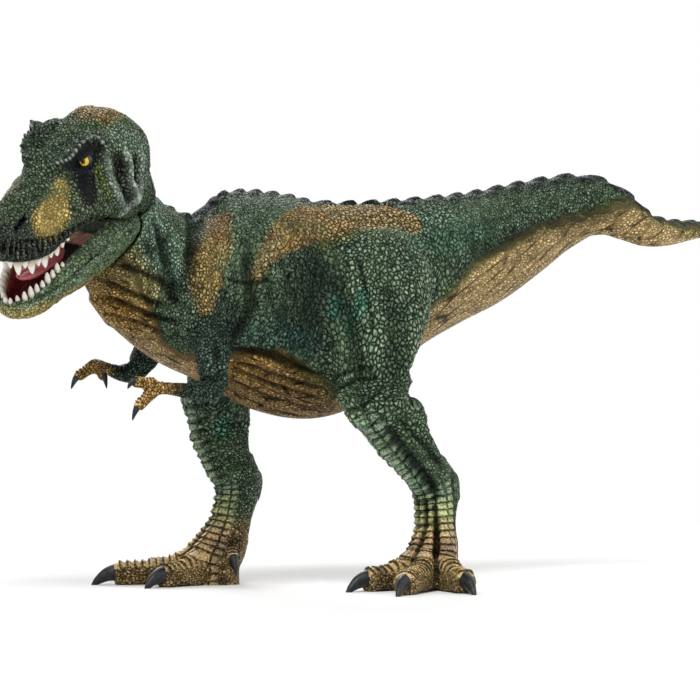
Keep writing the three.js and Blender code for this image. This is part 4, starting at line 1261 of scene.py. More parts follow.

# %% [markdown]
# Then the paint. Each layer is a mask and a colour, laid over the ones before it as a painter would: the
# green coat, the darker back, painted shadow in front of the thighs and under the arms, the teal and pale
# patches on the flanks, the tan underside, the ochre stripes with their soft edges, and the gold of the
# hands and feet.


# %% Spray the body
def sprayed(coat, mask, code):
    """The coat under a colour: coat times (1 - mask) plus colour times mask."""
    mask = np.clip(mask, 0, 1)[:, None]
    return coat * (1 - mask) + np.array(linear(code)[:3]) * mask


def layered(coat, layers):
    """The coat with masks and their colours laid over it in turn."""
    for mask, code in layers:
        coat = sprayed(coat, mask, code)
    return coat


def stripe(points, path, widths, soft):
    """A mask along a line: 1 within the half width, which runs through the widths given along it."""
    far, share = line_distance(points, path, max(widths) + soft)
    half = np.interp(share, np.linspace(0, 1, len(widths)), widths)
    return 1 - ramp(far, half - soft / 2, half + soft / 2)


def patched(coat, patches):
    """The coat with the patches on both sides: a share, places, half widths, softness and colour each."""
    for side in side_of.values():
        for share, places, widths, soft, code in patches:
            coat = sprayed(coat, share * stripe(body, flank(places, side), widths, soft), code)
    return coat


coat = np.tile(linear("#546a4b")[:3], (len(body), 1))
coat = sprayed(coat, 0.5 + 0.5 * mottle, "#3e5543")
back_dark = ramp(spine_angle, 45, 75) * ramp(180 - spine_angle, 45, 75) * ~is_leg
coat = sprayed(coat, 0.2 * back_dark, "#2d4538")
low_patches = [
    # The first two patches are painted shadow: in the hollow in front of the thigh and under the arm.
    (0.75, [(0.27, 0.2, 1.02), (0.29, 0.25, 0.9), (0.3, 0.25, 0.78)], [6, 9, 8], 9, "#18261f"),
    (0.75, [(0.6, 0.2, 1), (0.57, 0.23, 0.88), (0.52, 0.24, 0.78)], [4, 6, 6], 8, "#1b2b22"),
    (0.8, [(0.74, 0.12, 1.14), (0.74, 0.17, 1.05), (0.7, 0.17, 0.97)], [4, 5, 4], 5, "#6f8e78"),
    (0.55, [(0.45, 0.24, 0.76), (0.34, 0.25, 0.76), (0.25, 0.24, 0.72)], [3, 5, 3], 7, "#173f3c"),
]
teal_spots = [(0.13, 0.332, 0.884), (0.15, 0.31, 0.82), (0.2, 0.28, 0.87)]
teal_spots += [(0.53, 0.2, 0.98), (0.345, 0.165, 0.5)]
for spot in teal_spots:
    low_patches.append((0.55, [spot, np.array(spot) + [0.01, 0, -0.04]], [2, 2], 4, "#1f6b57"))
low_patches += [
    (0.45, [(-0.1, 0.16, 1.12), (-0.22, 0.16, 1.13), (-0.34, 0.14, 1.13)], [4, 5, 4], 6, "#64836a"),
    (0.4, [(-0.1, 0.2, 1.05), (-0.25, 0.18, 1.05), (-0.4, 0.15, 1.08)], [4, 5, 3], 7, "#2a5d4e"),
]
coat = patched(coat, low_patches)

edge_line = bell((below_edge - 0.005) / 0.03) * ~(is_leg | is_arm)
coat = layered(coat, [
    (under, "#b49c69"),
    (under * ramp(ahead, -0.05, 0.15), "#866b3c"),
    (0.7 * under * ramp(ahead, 0.25, 0.5) * ramp(up, 0.58, 0.68), "#a3823c"),
    (under * ramp(ahead, 0.5, 0.62), "#a38856"),
    (under * ramp(ahead, 0.7, 0.8), "#957638"),
    (0.6 * under * ramp(ahead, 0.76, 0.84) * ramp(up, 0.86, 0.96), "#4a5230"),
    (0.45 * edge_line * (ahead < 0.35), "#7f8a45"),
])
ragged = 0.8 + 0.35 * mottle
shoulder_line = [(0.49, 0.1, 1.09), (0.555, 0.17, 1), (0.595, 0.205, 0.92), (0.595, 0.21, 0.84)]
rib_line = [(0.44, 0.23, 0.93), (0.414, 0.223, 0.981), (0.362, 0.206, 1.032), (0.292, 0.181, 1.072)]
rib_line += [(0.182, 0.151, 1.103), (0.062, 0.116, 1.123), (-0.046, 0.107, 1.13), (-0.117, 0.135, 1.106)]
ochre_patches = [
    (ragged, shoulder_line, [3.5, 5, 4.5, 1.5], 4.5, "#8f7a44"),
    (0.7, [(0.49, 0.1, 1.09), (0.53, 0.14, 1.04)], [4, 3], 4, "#6e4c26"),
    (ragged, rib_line, [1, 2.2, 3.6, 5.8, 8, 9, 8.5, 5.5], 3.5, "#8f7440"),
    (0.6, [(0.43, 0.23, 0.95), (0.4, 0.22, 1), (0.35, 0.2, 1.04)], [1.5, 1.5, 1.5], 3, "#a09a68"),
    (0.75, [(0.85, 0.1, 1.06), (0.81, 0.13, 0.98), (0.76, 0.15, 0.9)], [3, 4.5, 4.5], 6, "#968b55"),
    (0.7, [(0.22, 0.19, 1.02), (0.08, 0.18, 1.04), (-0.06, 0.2, 1.045)], [1.5, 2, 1.5], 4, "#54602f"),
]
coat = patched(coat, ochre_patches)
print("points under the tan:", int((under > 0.5).sum()))

# %% Spray the scutes and the limbs
leg_low = np.where(is_leg, ramp(0.245 - up + 0.03 * mottle, 0, 0.1), 0)
arm_station = np.where(is_left, where["left_arm"][0], where["right_arm"][0])
hand = np.where(is_arm, ramp(arm_station, 4.4, 5.3), 0)
coat = layered(coat, [
    (2 * scutes, "#1d2122"),
    (leg_low, "#8c7749"),
    (leg_low * ramp(0.5 * speckle + mottle, -0.1, 0.7), "#594728"),
    (0.6 * is_leg * plated * bell((up - 0.23) / 0.07), "#868c4c"),
    (0.92 * is_arm, "#263a2f"),
    (hand, "#9c7c42"),
])

# %% Dry brush, wash and painted shade
dry = 0.62 + 0.35 * mottle
thigh_top = np.where(is_leg | (limb_ratio < 1.3), ramp(up, 0.5, 0.7), 0) * ramp(0.3 - ahead, 0, 0.25)
dry = dry + 0.5 * thigh_top + 0.1 * under
dry = dry * (1 - 0.9 * np.clip(1.4 * scutes, 0, 1))
dry = dry + 0.2 * leg_low + 0.4 * neck + 0.3 * is_leg * (up < 0.65)
wash_and_shade = 0.95 + 0.05 * mottle - 0.15 * belly - 0.25 * under_tail
# The coat is darkened in hollows and carved folds and lightened on ridges and raised muscles: partly the
# wash and the dry brush, partly painted shade and painted highlight.
cavity = np.clip(((spread(sculpted, body_edges, len(body)) - sculpted) * body_normals).sum(1) / 0.12, -1, 1)
shade = 1 - 0.45 * np.clip(cavity, 0, 1) + 0.2 * np.clip(-cavity, 0, 1)
shade = shade * (1 - 0.7 * np.clip(-relief, 0, 1)) * (1 + 0.35 * np.clip(relief, 0, 1))
dry = dry * (1 - np.clip(-1.2 * relief, 0, 1)) + 0.35 * np.clip(relief, 0, 1)
coat = coat * shade[:, None]
coat = np.hstack([coat, np.clip(fold_share, 0, 1)[:, None]])
print("mean share of dry brush:", round(float(dry.mean()), 2), "and of wash:", round(float(wash_and_shade.mean()), 2))

# %% [markdown]
# The finished skin is split into its castings. A point belongs to the trunk or the tail if it lies in
# the spine's own section swollen by six hundredths, and to its nearest limb if not. Each casting's rims
# are closed by a fan about their middle, and its normals are those of the whole skin, so that no seam
# shows.


# %% Split the body into its castings
def cap_holes(points, quads):
    """Points with a hub for each open rim, and triangles that join each rim to its hub."""
    sides = np.vstack([quads[:, [i, (i + 1) % 4]] for i in range(4)])
    sides = sides[sides[:, 0] != sides[:, 1]]
    keys = np.sort(sides, axis=1).astype(np.int64)
    _, first, count = np.unique(keys[:, 0] << 32 | keys[:, 1], return_index=True, return_counts=True)
    rim = sides[first[count == 1]]
    label = np.arange(len(points))
    settled = False
    while not settled:
        low = np.minimum(label[rim[:, 0]], label[rim[:, 1]])
        settled = bool((label[rim] == low[:, None]).all())
        np.minimum.at(label, rim[:, 0], low)
        np.minimum.at(label, rim[:, 1], low)
    loops = np.unique(label[rim[:, 0]])
    hubs = [points[rim[label[rim[:, 0]] == loop, 0]].mean(0) for loop in loops]
    hub = len(points) + np.searchsorted(loops, label[rim[:, 0]])
    fans = np.stack([rim[:, 1], rim[:, 0], hub], 1)
    return np.vstack([points, *hubs]), fans


def declare(made, node, body_name, finish, triangles):
    """Gives a piece its finish, and says what it rides on, which CAD node it stands for."""
    made.data.materials.append(finish)
    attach(made, body_name)
    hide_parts(node)
    print(made.name + ":", triangles, "triangles")
# Gives a piece its finish, attaches it to the body it rides on, and hides the CAD node it stands for.


def casting(name, node, body_name, slot, points, quads, normals, finish, **attributes):
    """One casting as a piece that rides on its body and stands for its CAD node."""
    used = np.unique(quads)
    number = np.full(len(points), -1)
    number[used] = np.arange(len(used))
    own_quads = number[quads]
    own_points, fans = cap_holes(points[used], own_quads)
    hubs = len(own_points) - len(used)
    made = new_mesh_object(name, own_points, own_quads, fans)
    spare = np.concatenate([used, np.repeat(used[:1], hubs)])
    for label, values in attributes.items():
        kind = "FLOAT_COLOR" if label == "paint" else "FLOAT_VECTOR"
        layer = made.data.attributes.new(label, kind, "POINT")
        chosen = values[spare]
        layer.data.foreach_set("color" if label == "paint" else "vector", chosen.astype(np.float32).ravel())
    made.data.normals_split_custom_set_from_vertices(normals[spare].tolist())
    declare(made, node, body_name, finish, 2 * len(own_quads) + len(fans))


# %% The castings of the body
split_ratio = 1.06
owner_names = ["trunk", "tail", "left_leg", "right_leg", "left_arm", "right_arm"]
limb_owner = []
for name in names[1:]:
    side_word, part = name.split("_")[:2]
    limb_owner.append(owner_names.index(f"{side_word}_{'arm' if part in ('arm', 'finger') else 'leg'}"))
nearest_limb = np.array(limb_owner)[np.argmin(ratios[1:], axis=0)]
on_spine = np.where(spine_station < tail_joint_station, 1, 0)
owner = np.where(spine_ratio < split_ratio, on_spine, nearest_limb)
face_owner = np.sort(owner[body_quads], axis=1)[:, 1]
final_normals = normals_of(sculpted, body_quads)
marks = np.stack([fine, np.clip(dry, 0, 1), np.clip(wash_and_shade, 0, 1)], 1)
rows = np.stack([run_along, run_round, plated], 1)
for index, node in enumerate(owner_names):
    part = body_quads[face_owner == index]
    layers = {"paint": coat, "pattern": pattern, "folds": fold_run, "marks": marks, "rows": rows}
    casting(f"{node}_skin", node, "figure", "skin", sculpted, part, final_normals, body_finish, **layers)

# %% [markdown]
# The head is worked in its own level frame. Its forms are the bony ones of the animal: a rough brow over
# each eye, a smooth dark patch round the eye that runs down in a drop, two tall openings in the skull
# behind it with ridges between them, a flat window in the snout, the nostrils, and lips with upright
# wrinkles. The strokes are given on the left side, in millimetres ahead, left and up of the jaw's hinge,
# and mirrored; one more lowers the right brow, which the picture shows over the left one.

# %% Weld the head and the jaw
head_voxel = 0.35
skull_shells = [
    closed(muzzle_tube.grid(skin_sides, (1.0, boxy))),
    closed(crest_tube.grid(skin_sides)),
    *(closed(brow_tube(side).grid(limb_sides)) for side in (1, -1)),
]
upper_first, lower_first = 4, 3
upper_hollow = mouth_hollow(muzzle_shares, upper_first, palate_rise, skull_height, True)
head, head_quads = welded(skull_shells, head_voxel, [sweep, upper_hollow])
lower_hollow = mouth_hollow(jaw_shares, lower_first, skull_height, trough_depth, False)
boss_bar = round_bar(boss_radius_share * skull_length + swing_gap, boss_half_width + swing_gap)
boss_room = closed(boss_bar.grid(limb_sides))
jaw_shell = closed(jaw_tube.grid(skin_sides, (boxy, 1.0)))
jaw, jaw_quads = welded([jaw_shell], head_voxel, [lower_hollow, boss_room])
head_edges, jaw_edges = edges_of(head_quads), edges_of(jaw_quads)
head, jaw = smoothed(head, head_edges, 5), smoothed(jaw, jaw_edges, 3)
print("head:", len(head), "points, jaw:", len(jaw), "points")

# %% Strokes on the head
eye_radius = 2.0
eye_middle = np.array([0.36 * skull_length, 0.33 * skull_width, 0.745 * skull_height])


def both_sides(strokes):
    """The strokes and their mirror images."""
    return [(np.array(path) * [1, side, 1], w, h) for path, w, h in strokes for side in (1, -1)]


def eye_ring(wide, high, out):
    """A line round the eye on the skin, half of it wide and high millimetres from the middle."""
    facing = unit(np.array([0.25, 0.9, 0.3]))
    forwards = unit(np.cross(facing, np.cross([1.0, 0, 0.15], facing)))
    upwards = np.cross(forwards, facing)
    turn = np.linspace(0, 2 * np.pi, 13)
    ring = np.cos(turn)[:, None] * forwards * wide + np.sin(turn)[:, None] * upwards * high
    return eye_middle + facing * out + ring


# %% Lines of the head
socket = [(24.5, 8.8, 25), (21, 11, 24.7), (16.5, 11.8, 24)]
teardrop = [(19.6, 10.5, 20.5), (20.2, 11.6, 17.3), (20.9, 12.8, 14.2)]
ridge_a = [(10.5, 10.6, 24.5), (10.3, 11.5, 20.2), (9.9, 14.3, 13), (6.8, 14.8, 7.6)]
hollow_1 = [(5.6, 12, 21.5), (5.2, 13.1, 16), (4.1, 14.5, 9.9)]
ridge_b = [(2.2, 11.8, 23), (1, 12.6, 19), (-0.4, 12.7, 12.6), (-1, 14.2, 7.1)]
hollow_2 = [(-2.2, 12, 20), (-2.4, 12.6, 13)]
ridge_c = [(-6.2, 11.4, 21.5), (-5.8, 12.7, 15), (-4, 13.2, 9.6), (-0.5, 14.2, 7.4)]
pit = [(-3, 13.4, 1.8), (-3.4, 13.2, -1.5)]
brow_line = [(27.5, 5, 22.6), (25.8, 6.6, 25.2), (22.5, 9, 28.2), (17.5, 9.8, 29.8), (12.6, 10.2, 28.3)]
brow_line += [(10.4, 11.1, 24.5)]
brow_arc = [(26.1, 5.5, 24.2), (24.4, 8.2, 26.2), (19.7, 9, 29.3), (15.4, 10.2, 29.6), (10.2, 10.2, 25.5)]
brow_arc += [(10.5, 11.1, 22.4)]
window = [(27.9, 7, 18.2), (33.4, 8.8, 14.2), (37, 10.2, 10.6)]
window_rim = [(25, 8.2, 20.4), (30.8, 5.4, 18.3), (37, 7.4, 14.6), (40, 9.6, 10.6), (36, 11.5, 7.4)]
window_rim += [(29, 11.5, 9), (25.2, 11.2, 13.6), (24.6, 9.6, 18)]
nostril = [(47.4, 6, 10.2), (45.6, 5.7, 11.4), (44, 5.8, 12.6), (42.3, 5.6, 13.4)]
nostril_rim = [(46.6, 6.4, 10.6), (45.4, 5.4, 13.6), (42, 5.2, 14.6), (41, 6.6, 12.6)]
snout_ridge = [(27.5, 1.6, 22.5), (33, 1.8, 19.6), (39, 1.8, 17.8), (44.5, 1.6, 16.6)]
lip_top = [(51.5, 5, 8.6), (47.5, 8.6, 7.6), (42, 10.6, 7), (36, 12, 6.4), (29.5, 13, 6.6)]
lip_top += [(22, 14, 7.6), (15, 14.4, 6.6)]
head_strokes = [
    (socket, 4.2, -0.9), (teardrop, 2.4, -1.1), (ridge_a, 2, 0.9), (hollow_1, 2.7, -1.9),
    (ridge_b, 1.5, 0.9), (hollow_2, 1.9, -1.4), (ridge_c, 1.8, 0.8), (pit, 1.8, -1.3),
    (brow_line, 2.2, 0.9), (window, 5, -0.5), (window_rim, 1.3, 0.35), (nostril, 1.05, -1.7),
    (nostril_rim, 1.3, 0.4), (snout_ridge, 1.6, 0.5), (lip_top, 1.1, -0.55),
    ([(18, 14.6, 4.8), (12, 14.8, 3.8), (6.8, 14.6, 4.5), (1, 14.4, 5.5)], 3, 0.7),
    ([(10, 14.8, 1), (5, 14.8, -1.2), (0, 14.4, -1)], 2.2, 0.5),
    ([(14.5, 12.4, 19.5), (14.8, 13.6, 15), (13.8, 14.4, 11)], 1.6, -0.35),
    ([(8.2, 14.6, 5.6), (3.5, 15, 7.4), (-1.5, 14.4, 7.6)], 1.6, 0.8),
    ([(10, 3.4, 30.5), (2, 3.8, 32), (-4, 3.8, 31)], 2.6, 0.5),
    (eye_ring(2.3, 1.0, 1.35), 1.0, 1.5),
]
jaw_lip = [(44, 5.6, -1), (38, 9, -1.2), (30, 11.4, -0.6), (22, 13, 0.6), (14, 14, 1)]
jaw_strokes = [
    (jaw_lip, 1.1, -0.45),
    ([(40, 6.8, -7), (31, 9.6, -9), (22, 11.4, -9.6), (12, 12, -9.6)], 1.6, -0.4),
    ([(26, 12.6, -3), (18, 13.8, -2.6), (10, 14.2, -3)], 3.4, 0.6),
    ([(6, 14.2, 3), (2, 14.4, 0), (2, 13.8, -5)], 2, 0.6),
]
print("strokes on the head:", len(head_strokes), "a side, on the jaw:", len(jaw_strokes))

# %% Carve the head and the jaw
head_normals, jaw_normals = normals_of(head, head_quads), normals_of(jaw, jaw_quads)
far_brow = [(24.5, -5.8, 27.5), (21.5, -6.8, 29.5), (18, -8, 30.5)]
all_strokes = both_sides(head_strokes) + [(np.array(far_brow), 5.0, -1.7)]
sculpted_head, head_relief = carve(head, head_normals, all_strokes)
sculpted_jaw, jaw_relief = carve(jaw, jaw_normals, both_sides(jaw_strokes))


# %% Knobs, grain and scales of the head
def inner_edge(points, shares, first, upper):
    """How far inside the mouth's walls a point lies sideways, and its height over the lips' edge."""
    x, edge, wall = lip_edge(shares, first, upper)
    inside = np.interp(points[:, 0], x, wall) - np.abs(points[:, 1])
    reached = (points[:, 0] > x[0] - 2.0) & (points[:, 0] < x[-1] - 0.2)
    return np.where(reached, inside, -9.0), points[:, 2] - np.interp(points[:, 0], x, edge)


def knobs(points, path, pitch, width, height):
    """A row of knobs along a line: a bell across it times a raised cosine along it."""
    far, share = line_distance(points, path, width)
    line = catmull(path, np.linspace(0, 1, 60))[0]
    run = share * np.linalg.norm(np.diff(line, axis=0), axis=1).sum()
    return height * bell(far / width) * (0.5 + 0.5 * np.cos(2 * np.pi * run / pitch))


inside, above = inner_edge(head, muzzle_shares, upper_first, True)
palate = ramp(inside, -0.5, 0.3) * (above < palate_rise + 0.9)
inside, above = inner_edge(jaw, jaw_shares, lower_first, False)
trough = ramp(inside, -0.5, 0.3) * (above > -trough_depth - 0.9)

raised = np.zeros(len(head))
smooth_place = np.zeros(len(head))
lip_grooves = np.zeros(len(head))
arc_knobs = np.zeros(len(head))
outer_brow = np.array(brow_line) * [1, 0.75, 1] + [0, 0, 1.2]
knob_rows = [(brow_line, 1.7, 1.3, 0.8), (outer_brow, 2.3, 2.0, 0.4)]
knob_rows += [(ridge_a, 2.1, 1.2, 0.3), (snout_ridge, 2.6, 1.8, 0.5)]
smooth_lines = [(0.35, ridge, [1, 1.2, 1], 1.2) for ridge in (ridge_a, ridge_b, ridge_c)]
smooth_lines += [(1, socket, [3, 4, 3], 2), (1, teardrop, [2, 2, 1.5], 2), (0.4, window, [3, 4.5, 3.5], 3)]
for side in (1, -1):
    mirror = np.array([1, side, 1])
    for place, pitch, width, height in knob_rows:
        raised += knobs(head, np.array(place) * mirror, pitch, width, height)
    arc_knobs += knobs(head, np.array(brow_arc) * mirror, 1.15, 0.6, 1.0)
    lip_grooves += knobs(head, np.array(lip_top) * mirror - [0, 0, 2.2], 2.1, 3.4, 1.0)
    for share, place, widths, soft in smooth_lines:
        smooth_place += share * stripe(head, np.array(place) * mirror, widths, soft)
raised += 0.6 * arc_knobs - 1.1 * lip_grooves
smooth_place = np.clip(smooth_place + palate, 0, 1)
brow_rough = ramp(head[:, 0], 8, 14) * ramp(34 - head[:, 0], 0, 8) * ramp(head[:, 2], 21, 25)
raised += (1 - smooth_place) * (0.22 * noise(head, 1.5, 7) + 0.25 * noise(head, 3.4, 8))
raised += (1 - smooth_place) * brow_rough * 0.75 * noise(head, 1.9, 9)
pattern_head = drawn_out(head, (0.25, 0, 1), 0.2)
head_border = scales(pattern_head, head_scale)
raised += (1 - smooth_place) * 0.16 * (ramp(head_border, 0, 0.35) - 0.6)
sculpted_head += head_normals * raised[:, None]
jaw_bare = 1 - trough
sculpted_jaw += jaw_normals * (jaw_bare * (0.2 * noise(jaw, 1.4, 11) + 0.25 * noise(jaw, 3.4, 12)))[:, None]
pattern_jaw = drawn_out(jaw, (1, 0, 0.1), 0.2)
print("knobs, grain and scales up to", round(float(raised.max()), 2), "mm high")

# %% The gap beside the jaw
# Where the jaw swings beside the head, neither may stand out into the gap between them.
beside_jaw = np.zeros(len(head))
for degrees in (gape + swing_shut, gape, gape + swing_wide):
    ratio = tube_coordinates(jaw_turned(head, -degrees), jaw_tube)[3]
    beside_jaw = np.maximum(beside_jaw, ramp(1.35 - ratio, 0, 0.15))
out = ((sculpted_head - head) * head_normals).sum(1)
sculpted_head -= head_normals * (np.maximum(out, 0) * beside_jaw)[:, None]
out = ((sculpted_jaw - jaw) * jaw_normals).sum(1)
sculpted_jaw -= jaw_normals * (np.maximum(out, 0) * ramp(28 - jaw[:, 0], 0, 8))[:, None]
print("points of the head beside the jaw:", int((beside_jaw > 0).sum()))

# %% [markdown]
# The head is painted like the body: a dark green coat, pale ridges, near-black hollows that are partly
# painted shade, a tan window in the snout and a tan crown, and a pink mouth with a darker floor; at its
# back a band of painted shadow, then a pale web of skin that is painted lighter than it is, as painted
# light.

# %% Spray the head
def throat_painted(coat, points, mouth):
    """The coat with the back of the mouth black, then pale, then green towards the throat. The black is
    painted shadow; the pale and the green are painted lighter than their own colours, as painted light.
    """
    for start, code in [(24.5, "#1d0f0d"), (17.8, "#ffd0ba"), (12.2, "#556459")]:
        coat = sprayed(coat, mouth * ramp(start - points[:, 0], 0, 1.5), code)
    return coat


head_mottle = noise(head, 4.0, 21)
patch_tan = "#ad9856"
behind_eye = [(14.2, 11.6, 23), (14.2, 13, 18), (14.2, 14, 13.5)]
dark_muzzle = 0.7 * ramp(head[:, 0], 30, 44) * (head[:, 2] < 12)
face = np.tile(linear("#4c5a41")[:3], (len(head), 1))
face = layered(face, [(0.4 + 0.5 * head_mottle, "#4b5b47"), (dark_muzzle, "#343d37")])
for side in (1, -1):
    mirror = np.array([1, side, 1])
    masks = [
        (0.75, [(4, 8, 27), (-2, 9.5, 25), (-6, 10, 20), (-8, 11, 12)], [4, 4, 4, 3], 5, "#6f8873"),
        (0.6, [(24, 4, 22), (18, 6, 27), (12, 8, 28)], [3, 4, 3], 4, "#3d5043"),
        (0.8, ridge_a, [1.2, 1.4, 1.6, 1.4], 1.8, "#8d9d8c"),
        (0.8, ridge_b, [1.1, 1.2, 1.3, 1.3], 1.6, "#90a093"),
        (0.7, ridge_c, [1.2, 1.4, 1.4, 1.2], 2, "#849486"),
        (0.8, [(8.2, 14.6, 5.6), (3.5, 15, 7.4), (-1.5, 14.4, 7.6)], [1, 1.4, 1], 1.6, "#97a59b"),
        # The two hollows and the pit are painted near-black: partly the toy's dark paint, partly painted
        # shade in these recesses.
        (0.85, hollow_1, [2.2, 2.7, 2.4], 1.8, "#272b24"),
        (0.85, hollow_2, [1.3, 1.5], 1.4, "#262b25"),
        (0.9, pit, [1, 1], 1.5, "#141917"),
        (0.9, behind_eye, [1.2, 1.4, 1], 2.5, "#5d7031"),
        (1.0, window if side > 0 else window[1:], [2.4, 6.2, 5.4] if side > 0 else [4, 5], 2.6, patch_tan),
        (0.6, [(28, 7.6, 18), (26.6, 8.8, 15)], [1.5, 1.5], 3, "#7c8142"),
        (1, socket, [3, 5, 4.4], 2, "#0b1410"),
        (1, teardrop, [4, 3.2, 2.9], 1.6, "#080e0c"),
        # The nostril's near-black is partly the toy's dark paint, partly painted shade in its recess.
        (0.8, nostril, [1, 1.2, 1], 1.6, "#0d100f"),
        (0.5, np.array(lip_top) - [0, 0, 3], [2, 2, 2], 2.5, "#2a302c"),
    ]
    for share, path, widths, soft, code in masks:
        mask = share * stripe(head, np.array(path) * mirror, widths, soft)
        if code == patch_tan:
            inner = 4.8 if side > 0 else 7.6
            mask = mask * ramp(np.abs(head_normals[:, 1]), 0.4, 0.62)
            mask = mask * ramp(np.abs(head[:, 1]) - inner, 0, 2)
        face = sprayed(face, mask, code)
high = head[:, 2] + 0.12 * np.abs(head[:, 1]) - 0.12 * (head[:, 0] - 3) + 1.2 * head_mottle
lip_band = bell((head[:, 2] - 5.5) / 3.6) * ramp(head[:, 0], 16, 24) * ramp(np.abs(head[:, 1]), 3, 5)
face = layered(face, [
    (0.7 * arc_knobs, "#a9b5a6"),
    (0.6 * ramp(high, 28.5, 32) * ramp(13 - head[:, 0], 0, 8), "#4f6034"),
    (ramp(high, 31.2, 33.6) * ramp(11 - head[:, 0], 0, 6), "#967f4e"),
    (0.4 * lip_band * (1 - lip_grooves), "#77806f"),
])
# The grooves over the lips are painted darker: partly the wash, partly painted shade.
face = face * (1 - 0.75 * lip_grooves)[:, None]
face = throat_painted(sprayed(face, palate, "#bb5a58"), head, palate)
# The carved folds and hollows are painted darker outside the mouth: partly the wash, partly painted shade.
face = face * (1 - 0.6 * np.clip(-head_relief, 0, 1) * (1 - palate))[:, None]
print("mean colour of the head:", face.mean(0).round(3))

# %% Spray the jaw
jaw_mottle = noise(jaw, 4.0, 22)
chin = np.tile(linear("#5e7355")[:3], (len(jaw), 1))
chin = layered(chin, [
    (0.4 + 0.5 * jaw_mottle, "#718a62"),
    (0.8 * ramp(noise(jaw, 1.3, 25), 0.15, 0.5), "#7f9680"),
    (ramp(-3.8 - jaw[:, 2] + 0.1 * (jaw[:, 0] - 20) + jaw_mottle, 0, 3.5), "#a39a5c"),
    (0.8 * ramp(-7.2 - jaw[:, 2] + 0.1 * (jaw[:, 0] - 20) + jaw_mottle, 0, 3), "#b89f5a"),
])
for side in (1, -1):
    mint = np.array([(11, 12.6, -8.6), (7, 12.6, -9.6), (4, 12, -8)]) * [1, side, 1]
    chin = sprayed(chin, 0.7 * stripe(jaw, mint, [1.2, 1.6, 1.2], 2.4), "#7fb298")
# The carved folds of the jaw are painted darker: partly the wash, partly painted shade.
chin = chin * (1 - 0.7 * np.clip(-jaw_relief, 0, 1))[:, None]
chin = layered(chin, [(trough, "#b85353"), (trough * ramp(above, -2.6, -4.2), "#6a2626")])
chin = throat_painted(chin, jaw, trough)
print("mean colour of the jaw:", chin.mean(0).round(3))


# %% The castings of the head and the jaw
def head_casting(name, node, body_name, place, skin, paint, smooth, mouth, pattern, fine, folded):
    """Paints the head or the jaw, places it in the carver's frame and makes its casting. The skin is its
    points as welded and as carved, its quads, edges and normals."""
    points, carved, quads, edges, normals = skin
    hollow = ((spread(carved, edges, len(points)) - carved) * normals).sum(1) / 0.07
    light = 1 - 0.5 * np.clip(hollow, 0, 1) + 0.35 * np.clip(-hollow, 0, 1)
    light = 1 + (light - 1) * (1 - mouth)
    dried = np.clip((0.6 + 0.4 * noise(points, 5.0, 31)) * (1 - smooth), 0, 1)
    layers = {
        "paint": np.hstack([paint * light[:, None], (folded * (1 - smooth))[:, None]]),
        "pattern": pattern,
        "folds": 2.4 * drawn_out(points, (0.15, 0, 1), 0.85),
        "marks": np.stack([np.maximum(fine, mouth), dried, 0.9 * (1 - 0.75 * smooth)], 1),
        "rows": np.zeros((len(points), 3)),
    }
    placed = place(carved)
    outward = normals_of(placed, quads)
    casting(name, node, body_name, "head_skin", placed, quads, outward, head_finish, **layers)


def place_jaw(points):
    """From the shut jaw to the carver's frame, open by the gape."""
    return place_head(jaw_turned(points))


fine = ramp(12 - head[:, 2], 0, 5)
folded = 0.35 + 0.65 * ramp(9.5 - head[:, 2], 0, 3) * ramp(head[:, 0], 20, 28)
skin = (head, sculpted_head, head_quads, head_edges, head_normals)
looks = (face, smooth_place, palate, pattern_head, fine, folded)
head_casting("head_skin", "head", "figure", place_head, skin, *looks)
even = np.full(len(jaw), 0.4)
skin = (jaw, sculpted_jaw, jaw_quads, jaw_edges, jaw_normals)
looks = (chin, trough, trough, pattern_jaw, even, even)
head_casting("lower_jaw_skin", "lower_jaw", "jaw", place_jaw, skin, *looks)

# %% [markdown]
# Teeth, tongue, eyes, claws and the pin are small firm pieces. Each tooth is a short tube that leans
# inwards and narrows to a rounded tip. The teeth of one jaw are one moulding on a strip that is hidden in
# the lip, as in the CAD, so that they can be pressed in together.


# %% Small pieces
def small_piece(name, node, body_name, shells, finish, along=None, place=None):
    """Closed shells as one piece, moved by `place`; `along` holds a value for each point."""
    points, quads, triangles = joined(shells)
    made = new_mesh_object(name, place(points) if place else points, quads, triangles)
    if along is not None:
        layer = made.data.attributes.new("along", "FLOAT", "POINT")
        layer.data.foreach_set("value", np.concatenate(along).astype(np.float32))
    declare(made, node, body_name, finish, 2 * len(quads) + len(triangles))


def run_of(tube, sides):
    """A value from 0 at a tube's root to 1 at its tip for each point of its closed shell."""
    rings = tube.length / tube.length[-1]
    return np.concatenate([np.repeat(rings, sides), [0.0, 1.0]])


tooth_depth, tooth_inset, strip_radius = 1.6, 2.7, 0.9
tooth_shares = np.array([[0, 0, 0.85], [0.3, 0, 0.95], [0.6, 0.3, 0.78], [0.86, 0.8, 0.46], [1, 1, 0.14]])
upper_tooth_shares = [0.62, 0.55, 0.68, 1, 0.62, 1, 0.68, 0.95, 0.6, 0.75, 0.55, 0.45]
lower_tooth_shares = [0.65, 0.75, 0.9, 1, 0.85, 0.75, 1, 0.8, 0.9, 0.55]


def lip_line(shares, first, upper):
    """The line of a tooth strip in the lip, from the back of one side round the front to the other."""
    rows_used = shares[first:-1]
    wide = rows_used[:, 2] * skull_width
    depth = -rows_used[:, 4] * skull_height + tooth_depth
    if not upper:
        depth = rows_used[:, 3] * skull_height - tooth_depth
    x = rows_used[:, 0] * skull_length - np.where(wide < 2 * lip_wall, tooth_inset / 2, 0)
    near = np.stack([x, wide - tooth_inset, rows_used[:, 1] * skull_height + depth], 1)
    front = near[-1] * [1, 0, 1] + [tooth_inset / 2, 0, 0]
    return np.vstack([near, front, (near * [1, -1, 1])[::-1]])


